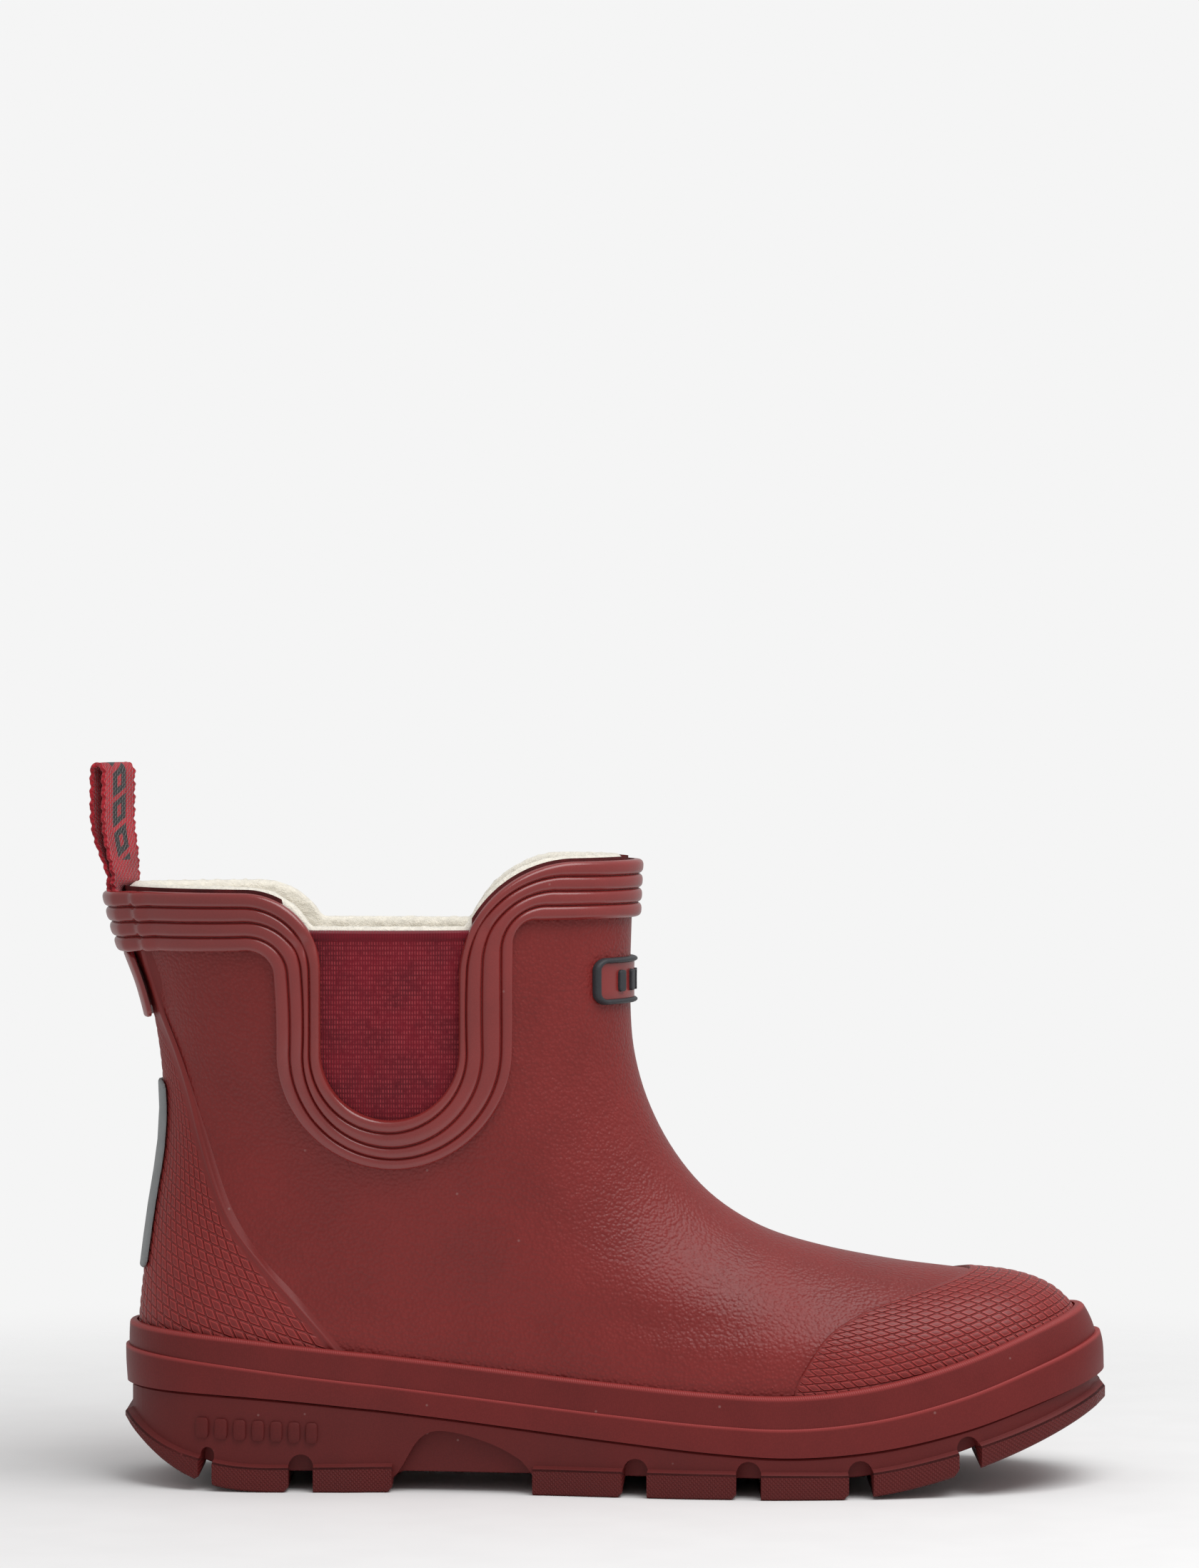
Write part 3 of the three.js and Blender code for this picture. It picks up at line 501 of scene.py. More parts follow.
def shared_group(
    name: str, inputs: dict[str, float | None], build: GroupBuilder, outputs: Sequence[str]
) -> bpy.types.NodeTree:
    """A node group that is made once. An input with no default is a vector, the others are numbers."""
    tree = bpy.data.node_groups.get(name)
    if tree is not None:
        return tree
    tree = bpy.data.node_groups.new(name, "ShaderNodeTree")
    for key, default in inputs.items():
        kind = "NodeSocketVector" if default is None else "NodeSocketFloat"
        socket = tree.interface.new_socket(key, in_out="INPUT", socket_type=kind)
        if default is not None:
            socket.default_value = default
    for key in outputs:
        tree.interface.new_socket(key, in_out="OUTPUT", socket_type="NodeSocketFloat")
    graph = Graph(tree)
    source = tree.nodes.new("NodeGroupInput")
    sink = tree.nodes.new("NodeGroupOutput")
    made = build(graph, {key: source.outputs[key] for key in inputs})
    for key in outputs:
        tree.links.new(made[key], sink.inputs[key])
    return tree


def _pebble(g: Graph, i: dict[str, Socket]) -> dict[str, Socket]:
    """Orange-peel grain: rounded cells of the given size, broken up by finer noise."""
    scale = g.math("DIVIDE", 1000.0, i["Size mm"])
    wobble = g.node("ShaderNodeTexNoise", {"Vector": i["Vector"], "Scale": 900.0, "Detail": 1.0}).outputs["Color"]
    moved = g.node("ShaderNodeVectorMath", {0: wobble, 1: (0.0004, 0.0004, 0.0004)}, operation="MULTIPLY").outputs[0]
    vector = g.node("ShaderNodeVectorMath", {0: i["Vector"], 1: moved}, operation="ADD").outputs[0]
    cells = g.node("ShaderNodeTexVoronoi", {"Vector": vector, "Scale": scale, "Smoothness": 0.6}, feature="SMOOTH_F1")
    dome = g.math("SUBTRACT", 1.0, cells.outputs["Distance"])
    fine = g.noise(i["Vector"], g.math("MULTIPLY", scale, 0.55))
    height = g.math("MULTIPLY_ADD", fine, i["Roughen"], dome)
    return {"Height": height, "Cell": g.span(dome, 0.35, 0.8)}


def _mottle(g: Graph, i: dict[str, Socket]) -> dict[str, Socket]:
    """Slow cloudy variation and sparse dust specks."""
    scale = g.math("DIVIDE", 1000.0, i["Size mm"])
    cloud = g.noise(i["Vector"], scale, 4.0, 0.55)
    specks = g.node("ShaderNodeTexVoronoi", {"Vector": i["Vector"], "Scale": 230.0})
    keep = g.math("GREATER_THAN", g.node("ShaderNodeSeparateColor", {0: specks.outputs["Color"]}).outputs[0], 0.93)
    speck = g.math("MULTIPLY", g.span(specks.outputs["Distance"], 0.12, 0.04), keep)
    return {"Cloud": g.span(cloud, 0.3, 0.7), "Speck": speck}


def _waves(g: Graph, value: Socket, pitch: Socket) -> Socket:
    """A sine wave from 0 to 1 with the given pitch."""
    angle = g.math("MULTIPLY", g.math("DIVIDE", value, pitch), 2 * math.pi)
    return g.math("MULTIPLY_ADD", g.math("SINE", angle), 0.5, 0.5)


def _lines(g: Graph, i: dict[str, Socket]) -> dict[str, Socket]:
    """Fine lines across the first coordinate, strongest where the second lies near Crest."""
    u, v = g.split(i["Vector"])
    near = g.math("ABSOLUTE", g.math("SUBTRACT", v, i["Crest"]))
    # crest also masks the highlight that LinedRubber paints along the strip's crest.
    crest = g.span(near, 1.1, 0.2)
    waves = g.math("MULTIPLY", _waves(g, u, i["Pitch"]), g.math("MULTIPLY_ADD", crest, 0.85, 0.15))
    return {"Height": waves, "Crest": crest}


def _hatch(g: Graph, i: dict[str, Socket]) -> dict[str, Socket]:
    """Crossed diagonal lines that leave small raised diamonds."""
    u, v = g.split(i["Vector"])
    one = _waves(g, g.math("ADD", u, v), i["Pitch"])
    two = _waves(g, g.math("SUBTRACT", u, v), i["Pitch"])
    return {"Height": g.math("MULTIPLY", one, two)}


def _knit(g: Graph, i: dict[str, Socket]) -> dict[str, Socket]:
    """Elastic webbing: upright dashes in level rows."""
    u, v = g.split(i["Vector"])
    columns, rows = g.math("DIVIDE", u, i["Column"]), g.math("DIVIDE", v, i["Row"])
    across = g.math("ABSOLUTE", g.math("SUBTRACT", g.math("FRACT", columns), 0.5))
    along = g.math("ABSOLUTE", g.math("SUBTRACT", g.math("FRACT", rows), 0.5))
    dash = g.math("MULTIPLY", g.span(across, 0.34, 0.12), g.span(along, 0.46, 0.2))
    return {"Dash": dash, "Column": g.span(across, 0.5, 0.1)}


def _weave(g: Graph, i: dict[str, Socket]) -> dict[str, Socket]:
    """Tape weave: yarns that run lengthwise with a slanted over and under."""
    u, v = g.split(i["Vector"])
    yarn = _waves(g, u, i["Pitch"])
    slant = _waves(g, g.math("ADD", v, g.math("MULTIPLY", u, 0.8)), g.math("MULTIPLY", i["Pitch"], 1.7))
    return {"Height": g.math("MULTIPLY_ADD", slant, 0.6, g.math("MULTIPLY", yarn, 0.6)), "Yarn": yarn}


def _scales(g: Graph, i: dict[str, Socket]) -> dict[str, Socket]:
    """Raised scales, one to each unit cell: a flat-topped pad, its lip and the groove round it."""
    sides = []
    for value in g.split(i["Vector"]):
        off = g.math("SUBTRACT", g.math("FRACT", value), 0.5)
        sides.append(g.math("MULTIPLY", g.math("ABSOLUTE", off), 2.0))
    edge = g.math("SMOOTH_MAX", sides[0], sides[1], 0.25)
    # lip and groove also mask the painted highlight and the painted shade of KnurledRubber.
    groove = g.span(edge, 0.74, 0.98)
    lip = g.math("MULTIPLY", g.span(edge, 0.45, 0.7), g.math("SUBTRACT", 1.0, g.span(edge, 0.72, 0.85)))
    height = g.math("SUBTRACT", g.math("MULTIPLY", i["Lip"], lip), groove)
    return {"Height": height, "Lip": lip, "Groove": groove}


def _pile(g: Graph, i: dict[str, Socket]) -> dict[str, Socket]:
    """Cut pile: clumps of the given size with fine fibres in them."""
    scale = g.math("DIVIDE", 1000.0, i["Tuft mm"])
    clumps = g.noise(i["Vector"], scale, 3.0, 0.62)
    fibres = g.noise(i["Vector"], g.math("MULTIPLY", scale, 5.0))
    return {"Height": g.math("MULTIPLY_ADD", fibres, 0.45, clumps), "Shade": g.span(clumps, 0.32, 0.66)}


class Relief(Enum):
    """The shared relief groups: builder, inputs and outputs."""

    PEBBLE = ("pebble grain", {"Vector": None, "Size mm": 0.7, "Roughen": 0.5}, _pebble, ("Height", "Cell"))
    MOTTLE = ("mottle and dust", {"Vector": None, "Size mm": 30.0}, _mottle, ("Cloud", "Speck"))
    LINES = ("fine lines", {"Vector": None, "Pitch": 0.5, "Crest": 0.0}, _lines, ("Height", "Crest"))
    HATCH = ("cross hatch", {"Vector": None, "Pitch": 1.1}, _hatch, ("Height",))
    KNIT = ("elastic knit", {"Vector": None, "Column": 0.8, "Row": 1.4}, _knit, ("Dash", "Column"))
    WEAVE = ("tape weave", {"Vector": None, "Pitch": 0.8}, _weave, ("Height", "Yarn"))
    SCALES = ("knurled scales", {"Vector": None, "Lip": 0.2}, _scales, ("Height", "Lip", "Groove"))
    PILE = ("cut pile", {"Vector": None, "Tuft mm": 2.2}, _pile, ("Height", "Shade"))

    def use(self, g: Graph, vector: Socket, **values: float) -> dict[str, Socket]:
        """Places this group in a material and returns its outputs by name."""
        name, inputs, build, outputs = self.value
        tree = shared_group(name, inputs, build, outputs)
        made = g.node("ShaderNodeGroup", node_tree=tree)
        g.feed(made.inputs["Vector"], vector)
        for key, value in values.items():
            g.feed(made.inputs[key.replace("_", " ")], value)
        return {key: made.outputs[key] for key in outputs}


def linear(colour: Sequence[float]) -> tuple[float, float, float, float]:
    """A screen colour from 0 to 255 as a linear colour."""
    c = np.array(colour, float) / 255
    c = np.where(c <= 0.04045, c / 12.92, ((c + 0.055) / 1.055) ** 2.4)
    return (float(c[0]), float(c[1]), float(c[2]), 1.0)


Colour = tuple[float, float, float]
DUST: Colour = (196, 170, 165)


@dataclass(frozen=True)
class Finish:
    """A finish: its screen colour, its roughness and what its surface does."""

    name: str
    colour: Colour
    roughness: float = 0.5

    def material(self) -> bpy.types.Material:
        """The finish's material, made once."""
        made = bpy.data.materials.get(f"{self.name}_finish")
        if made is not None:
            return made
        made = bpy.data.materials.new(f"{self.name}_finish")
        made.use_nodes = True
        made.node_tree.nodes.clear()
        g = Graph(made.node_tree)
        shader = g.node("ShaderNodeBsdfPrincipled", {"Roughness": self.roughness})
        g.node("ShaderNodeOutputMaterial", {"Surface": shader.outputs[0]})
        where = g.node("ShaderNodeTexCoord")
        self.dress(g, shader, where.outputs["Object"], where.outputs["UV"])
        return made

    def dress(self, g: Graph, shader: bpy.types.Node, body: Socket, flat: Socket) -> None:
        """Links the surface's colour, roughness and relief. body is in metres, flat is the piece's UV in mm."""
        raise NotImplementedError

    def shade(self, gain: float, lift: float = 0.0) -> tuple[float, float, float, float]:
        """The finish's colour made lighter or darker."""
        return linear([min(255, c * gain + lift) for c in self.colour])

    def mottled(
        self, g: Graph, body: Socket, size: float = 30.0, strength: float = 0.04
    ) -> tuple[Socket, dict[str, Socket]]:
        """The base colour with slow variation, and the mottle group's outputs."""
        made = Relief.MOTTLE.use(g, body, Size_mm=size)
        return g.blend(made["Cloud"], self.shade(1 - strength), self.shade(1 + strength)), made

    @staticmethod
    def cloth(g: Graph, shader: bpy.types.Node, sheen: float, shine: float) -> None:
        """Sets the sheen and the gloss of a cloth."""
        g.feed(shader.inputs["Sheen Weight"], sheen)
        g.feed(shader.inputs["Specular IOR Level"], shine)

    @staticmethod
    def bump(g: Graph, shader: bpy.types.Node, *reliefs: tuple[Socket, float]) -> None:
        """Feeds reliefs, each a height and a depth in mm, to the shader's normal."""
        normal: dict[str, Socket] = {}
        for height, depth_mm in reliefs:
            made = g.node("ShaderNodeBump", {"Height": height, "Distance": depth_mm / 1000.0, **normal})
            normal = {"Normal": made.outputs[0]}
        g.feed(shader.inputs["Normal"], normal["Normal"])


@dataclass(frozen=True)
class Rubber(Finish):
    """Moulded rubber: pebbled grain, slow colour variation, a few dust specks and paler worn crests."""

    grain: float = 0.7
    depth: float = 0.05
    worn: float = 0.08
    shine: float = 0.4

    def dress(self, g: Graph, shader: bpy.types.Node, body: Socket, flat: Socket) -> None:
        """Grain and wear on the body's own coordinates."""
        colour, grain = self.moulded(g, shader, body)
        g.feed(shader.inputs["Base Color"], colour)
        self.bump(g, shader, (grain, self.depth))

    def moulded(self, g: Graph, shader: bpy.types.Node, body: Socket) -> tuple[Socket, Socket]:
        """Sets the gloss, and returns the rubber's colour and the height of its grain."""
        colour, mottle = self.mottled(g, body)
        pebble = Relief.PEBBLE.use(g, body, Size_mm=self.grain)
        colour = g.blend(g.math("MULTIPLY", pebble["Cell"], self.worn), colour, self.shade(1.35, 12))
        colour = g.blend(g.math("MULTIPLY", mottle["Speck"], 0.2), colour, linear(DUST))
        rough = g.math("MULTIPLY_ADD", mottle["Cloud"], 0.1, self.roughness - 0.05)
        g.feed(shader.inputs["Roughness"], rough)
        g.feed(shader.inputs["Specular IOR Level"], self.shine)
        return colour, pebble["Height"]


@dataclass(frozen=True)
class LinedRubber(Rubber):
    """Rubber strip with fine upright lines and a corrugated crest at its top edge, with a painted highlight along the
    crest.
    """

    pitch: float = 0.62
    crest: float = 0.0
    lines: float = 0.09

    def dress(self, g: Graph, shader: bpy.types.Node, body: Socket, flat: Socket) -> None:
        """Lines run on the strip's own UV: u along the strip and v down from its crest, in mm."""
        colour, grain = self.moulded(g, shader, body)
        made = Relief.LINES.use(g, flat, Pitch=self.pitch, Crest=self.crest)
        # Painted highlight: the crest is mixed towards a paler red, standing in for light catching the rounded top
        # edge.
        colour = g.blend(g.math("MULTIPLY", made["Crest"], 0.6), colour, self.shade(1.4, 24))
        g.feed(shader.inputs["Base Color"], colour)
        self.bump(g, shader, (grain, self.depth), (made["Height"], self.lines))


@dataclass(frozen=True)
class KnurledRubber(Rubber):
    """Moulded rubber with raised scales, which fade where the piece's relief attribute does."""

    depth_of_scale: float = 0.3

    def dress(self, g: Graph, shader: bpy.types.Node, body: Socket, flat: Socket) -> None:
        """Scales lie on UV, one to each unit; their lips are painted paler, partly wear and partly a painted
        highlight, and their grooves are painted darker as painted shade.
        """
        colour, grain = self.moulded(g, shader, body)
        scales = Relief.SCALES.use(g, flat)
        kept = g.node("ShaderNodeAttribute", attribute_name="relief").outputs["Fac"]
        height, lip, groove = (g.math("MULTIPLY", scales[key], kept) for key in ("Height", "Lip", "Groove"))
        # Painted highlight, partly wear: the scales' lips are mixed paler.
        colour = g.blend(g.math("MULTIPLY", lip, 0.8), colour, self.shade(1.3, 16))
        # Painted shade: the grooves between the scales are mixed darker.
        colour = g.blend(g.math("MULTIPLY", groove, 0.15), colour, self.shade(0.8))
        g.feed(shader.inputs["Base Color"], colour)
        self.bump(g, shader, (grain, self.depth), (height, self.depth_of_scale))


@dataclass(frozen=True)
class HatchedRubber(Rubber):
    """Tread rubber with a fine crossed hatch on top of its grain."""

    pitch: float = 1.2
    hatch: float = 0.4

    def dress(self, g: Graph, shader: bpy.types.Node, body: Socket, flat: Socket) -> None:
        """The hatch lies on UV, which the sole gives only where its tread is hatched."""
        colour, grain = self.moulded(g, shader, body)
        made = Relief.HATCH.use(g, flat, Pitch=self.pitch)
        # Painted highlight: the hatch's raised ridges are mixed paler, standing in for light catching them.
        colour = g.blend(g.math("MULTIPLY", made["Height"], 0.35), colour, self.shade(1.3, 12))
        g.feed(shader.inputs["Base Color"], colour)
        self.bump(g, shader, (grain, self.depth), (made["Height"], self.hatch))


@dataclass(frozen=True)
class Elastic(Finish):
    """Gore elastic: rows of pale upright dashes below a plain velvety hem."""

    dash: Colour = (182, 56, 66)
    hem: float = 2.6

    def dress(self, g: Graph, shader: bpy.types.Node, body: Socket, flat: Socket) -> None:
        """Dashes lie on the gore's UV: u across and v down from the top edge, in mm."""
        colour, _ = self.mottled(g, body, 12.0, 0.1)
        knit = Relief.KNIT.use(g, flat)
        _, down = g.split(flat)
        below = g.span(down, self.hem, self.hem + 0.8)
        uneven = g.span(g.noise(body, 700.0), 0.25, 0.7)
        dashes = g.math("MULTIPLY", g.math("MULTIPLY", knit["Dash"], below), uneven)
        g.feed(shader.inputs["Base Color"], g.blend(g.math("MULTIPLY", dashes, 0.85), colour, linear(self.dash)))
        self.bump(g, shader, (g.noise(body, 2600.0), 0.05), (g.math("ADD", dashes, knit["Column"]), 0.12))
        self.cloth(g, shader, sheen=0.35, shine=0.2)


@dataclass(frozen=True)
class Tape(Finish):
    """Woven tape with a printed row of plain dark blocks."""

    ink: Colour | None = (44, 40, 42)

    def dress(self, g: Graph, shader: bpy.types.Node, body: Socket, flat: Socket) -> None:
        """The weave lies on the tape's UV: u across from its middle and v along, in mm."""
        colour, _ = self.mottled(g, body, 8.0, 0.16)
        weave = Relief.WEAVE.use(g, flat)
        colour = g.blend(g.math("MULTIPLY", weave["Height"], 0.45), colour, self.shade(1.25, 14))
        if self.ink is not None:
            colour = g.blend(self.blocks(g, flat), colour, linear(self.ink))
        g.feed(shader.inputs["Base Color"], colour)
        self.bump(g, shader, (g.noise(body, 3000.0), 0.08), (weave["Height"], 0.36))
        self.cloth(g, shader, sheen=0.3, shine=0.25)

    def blocks(self, g: Graph, flat: Socket) -> Socket:
        """A column of dark blocks, each with a slanted bar and a small window, along the tape's front strand."""
        u, v = g.split(flat)
        slanted = g.math("ADD", v, g.math("MULTIPLY", u, 0.5))
        step = g.math("ABSOLUTE", g.math("SUBTRACT", g.math("FRACT", g.math("DIVIDE", slanted, 8.6)), 0.5))
        across = g.math("ABSOLUTE", g.math("ADD", u, 0.3))
        block = g.math("MULTIPLY", g.span(step, 0.42, 0.4), g.span(across, 3.1, 2.9))
        window = g.math("MULTIPLY", g.span(step, 0.2, 0.17), g.span(across, 1.0, 0.8))
        kept = g.math("MULTIPLY", g.span(v, 38.5, 38.8), g.span(v, 70.5, 70.2))
        return g.math("MULTIPLY", g.math("SUBTRACT", block, window, clamp=True), kept)


@dataclass(frozen=True)
class Pile(Finish):
    """Cream cut pile."""

    tuft: float = 1.7
    depth: float = 0.5

    def dress(self, g: Graph, shader: bpy.types.Node, body: Socket, flat: Socket) -> None:
        """Clumps and fibres on the body's own coordinates."""
        pile = Relief.PILE.use(g, body, Tuft_mm=self.tuft)
        g.feed(shader.inputs["Base Color"], g.blend(pile["Shade"], self.shade(0.93), self.shade(1)))
        self.bump(g, shader, (pile["Height"], self.depth))
        self.cloth(g, shader, sheen=0.6, shine=0.1)


@dataclass(frozen=True)
class Plain(Finish):
    """Board, foam, felt or metal that hardly shows: speckled colour and a fine tooth."""

    metal: float = 0.0
    tooth: float = 1.2
    speckle: float = 0.14

    def dress(self, g: Graph, shader: bpy.types.Node, body: Socket, flat: Socket) -> None:
        """Speckle and tooth on the body's own coordinates."""
        colour, _ = self.mottled(g, body, 6.0, self.speckle)
        g.feed(shader.inputs["Base Color"], colour)
        self.bump(g, shader, (g.noise(body, 1000.0 / self.tooth, 3.0), 0.15))
        g.feed(shader.inputs["Metallic"], self.metal)


RED = (124, 36, 34)
SHELL = Rubber("shell_rubber", RED, 0.4, grain=0.95, depth=0.24, shine=0.36)
# BAND is the shell's red made lighter: a highlight painted onto the band's glossy ribs, also carried by the loop patch
# and the badge base.
BAND = Rubber("band_rubber", (132, 41, 39), 0.26, grain=0.5, depth=0.01, worn=0.05, shine=0.75)
KNURLED = KnurledRubber("knurled_rubber", RED, 0.4, grain=0.5, depth=0.008, worn=0.05, shine=0.4)
# FOXING, BUMPER, SOLE and TREAD are darker copies of the red rubber: painted shade for the boot's lower part, which
# sits in shadow.
FOXING = LinedRubber("foxing_rubber", (106, 31, 30), 0.46, grain=0.5, depth=0.01, shine=0.26, crest=0.5)
BUMPER = LinedRubber("bumper_rubber", (106, 31, 30), 0.5, grain=0.5, depth=0.012, shine=0.26, lines=0.03)
SOLE = Rubber("sole_rubber", (92, 27, 26), 0.6, grain=0.45, depth=0.015, shine=0.26)
TREAD = HatchedRubber("tread_rubber", (92, 27, 26), 0.55, grain=0.45, depth=0.015, shine=0.26)
BLACK = Rubber("black_rubber", (48, 49, 53), 0.5, grain=0.5, depth=0.03, worn=0.08)
ELASTIC = Elastic("gore_elastic", (112, 8, 28), 0.9)
CANVAS = Plain("canvas", (98, 28, 30), 0.9, tooth=0.5)
WEBBING = Tape("loop_webbing", (158, 26, 38), 0.85)
TAIL = Tape("tail_webbing", (172, 34, 48), 0.85, ink=None)
FLEECE = Pile("pile", (250, 244, 230), 0.95)
FELT = Plain("footbed_felt", (232, 225, 208), 0.95, tooth=0.8, speckle=0.05)
BOARD = Plain("board", (176, 150, 112), 0.85, tooth=0.6)
FOAM = Plain("foam", (214, 208, 194), 0.95, tooth=1.6)
STEEL = Plain("steel", (186, 189, 192), 0.35, metal=1.0, tooth=0.3)
SILVER = Plain("reflective", (132, 135, 136), 0.45, tooth=0.4, speckle=0.04)


# ---------------------------------------------------------------- sub-assemblies
class Part:
    """A sub-assembly of the boot: it builds its pieces, gives each its finish and hands it to its body."""

    body = "boot"

    def build(self) -> None:
        """Builds and dresses every piece."""
        raise NotImplementedError

    def add(self, piece: bpy.types.Object, finish: Finish, slot: str, *stands_for: str) -> bpy.types.Object:
        """Gives a piece its finish, the nodes it stands for and its body."""
        piece.data.materials.append(finish.material())
        if stands_for:
            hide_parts(*stands_for)
        if self.body:
            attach(piece, self.body)
        log.info("%s: %d faces", piece.name, len(piece.data.polygons))
        return piece


def corners(inset: Array) -> tuple[Array, Array, Array]:
    """Radii of the rear and front corners of one line of the band, and its distance from the gore's middle."""
    share = inset / BAND_WIDTH
    return mix(*REAR_CORNER, share), mix(*FRONT_CORNER, share), GORE_WIDTH / 2 + inset


def edge_height(x: Array, inset: float) -> Array:
    """Height of one line of the collar band over x: level, then a quarter circle that falls to the gore."""
    back, front, reach = corners(inset)
    from_back = np.clip(x - (GORE_MIDDLE - reach - back), 0, back)
    from_front = np.clip(GORE_MIDDLE + reach + front - x, 0, front)
    left = TOP_BACK - inset - back + np.sqrt(back**2 - from_back**2)
    right = TOP_FRONT - inset - front + np.sqrt(front**2 - from_front**2)
    return np.where(x < GORE_MIDDLE, left, right)


def windowed(inset: float) -> Profile:
    """An edge that follows the band's line and drops round the gore's window."""
    reach = GORE_WIDTH / 2 + BAND_OVERLAP

    def height(x: Array) -> Array:
        """Height of the edge over x."""
        across = np.clip(np.abs(x - GORE_MIDDLE), 0, reach)
        window = GORE_CENTRE - np.sqrt(reach**2 - across**2)
        return np.where(across < reach, window, edge_height(x, inset))

    return height


@dataclass
class Upper(Part):
    """The moulded shell, its canvas backing and the two elastic gores."""

    rubber: float = 1.6
    canvas_inside: float = -2.4
    shell_inset: float = 0.5  # the shell's top edge below the band's free edge
    canvas_proud: float = 0.8
    columns: int = 360
    rows: int = 90
    shared_rise: float = 0.42
    gore_face: float = -0.2
    gore_thick: float = 2.2
    gore_columns: int = 96
    gore_rows: int = 90
    hem: float = 2.2

    def build(self) -> None:
        """Shell, canvas and gores."""
        shell = self.wall("upper_shell_skin", windowed(self.shell_inset), 0.0, -self.rubber)
        self.add(shell, SHELL, "shell_rubber", "upper_shell")
        canvas_edge = windowed(-self.canvas_proud)
        canvas = self.wall("canvas_backing_cloth", canvas_edge, -self.rubber - 0.1, self.canvas_inside)
        self.add(canvas, CANVAS, "canvas", "canvas_backing")
        for side, name in ((Side.LATERAL, "lateral_gore"), (Side.MEDIAL, "medial_gore")):
            self.add(self.gore(name + "_elastic", side), ELASTIC, "elastic", name)

    def wall(self, name: str, top: Profile, outer: float, inner: float) -> bpy.types.Object:
        """A ring from the sole to a top edge. Rows are shared up to a middle rise and stretch above it."""
        phi = ring_angles(self.columns)
        summit = SKIN.rise(phi, top)
        share = np.linspace(0, 1, self.rows)
        low = np.minimum(share * 2, 1) * self.shared_rise
        t = low[None, :] + np.maximum(share * 2 - 1, 0)[None, :] * (summit[:, None] - self.shared_rise)
        outside = SKIN.layer(phi[:, None], t, outer)
        inside = SKIN.layer(phi[:, None], t[:, ::3], inner)
        loops = np.concatenate([outside, inside[:, ::-1]], axis=1)
        loops = loops if loops.shape[1] % 2 == 0 else loops[:, :-1]
        around = around_mm(phi, 0.3)
        return solid(name, loops, grid_uv(around, np.arange(loops.shape[1] + 1) * 1.5), wrap=True)

    def gore(self, name: str, side: Side) -> bpy.types.Object:
        """Elastic in its window: columns from the top edge down to the round bottom, with a folded hem."""
        reach = GORE_WIDTH / 2 + BAND_OVERLAP - 0.4
        across = reach * np.sin(np.linspace(-1, 1, self.gore_columns) * math.pi / 2)
        bottom = GORE_CENTRE - np.sqrt(np.maximum(reach**2 - across**2, 0))
        down = np.linspace(0, 1, self.gore_rows) ** 1.15
        x = np.broadcast_to((GORE_MIDDLE + across)[:, None], (self.gore_columns, self.gore_rows))
        z = mix(GORE_TOP, bottom[:, None], down[None, :])
        phi, t = SKIN.find(x, z, side)
        depth = GORE_TOP - z
        hem = 0.45 * smooth(depth / 0.5) * (1 - smooth((depth - self.hem) / 0.6))
        rounded = -0.8 * (1 - smooth(depth / 0.8))
        wobble = 0.12 * ripple(np.stack([x, z * 0, z], -1), 14, 5)
        outside = SKIN.layer(phi, t, self.gore_face + hem + rounded + wobble)
        inside = SKIN.layer(phi[:, ::9], t[:, ::9], self.gore_face - self.gore_thick)
        loops = np.concatenate([outside, inside[:, ::-1]], axis=1)
        v = np.concatenate([depth, depth[:, ::9][:, ::-1], depth[:, :1]], axis=1)
        u = np.broadcast_to((across * 1.06)[:, None], v.shape)
        return solid(name, loops, np.stack([u, v], -1))


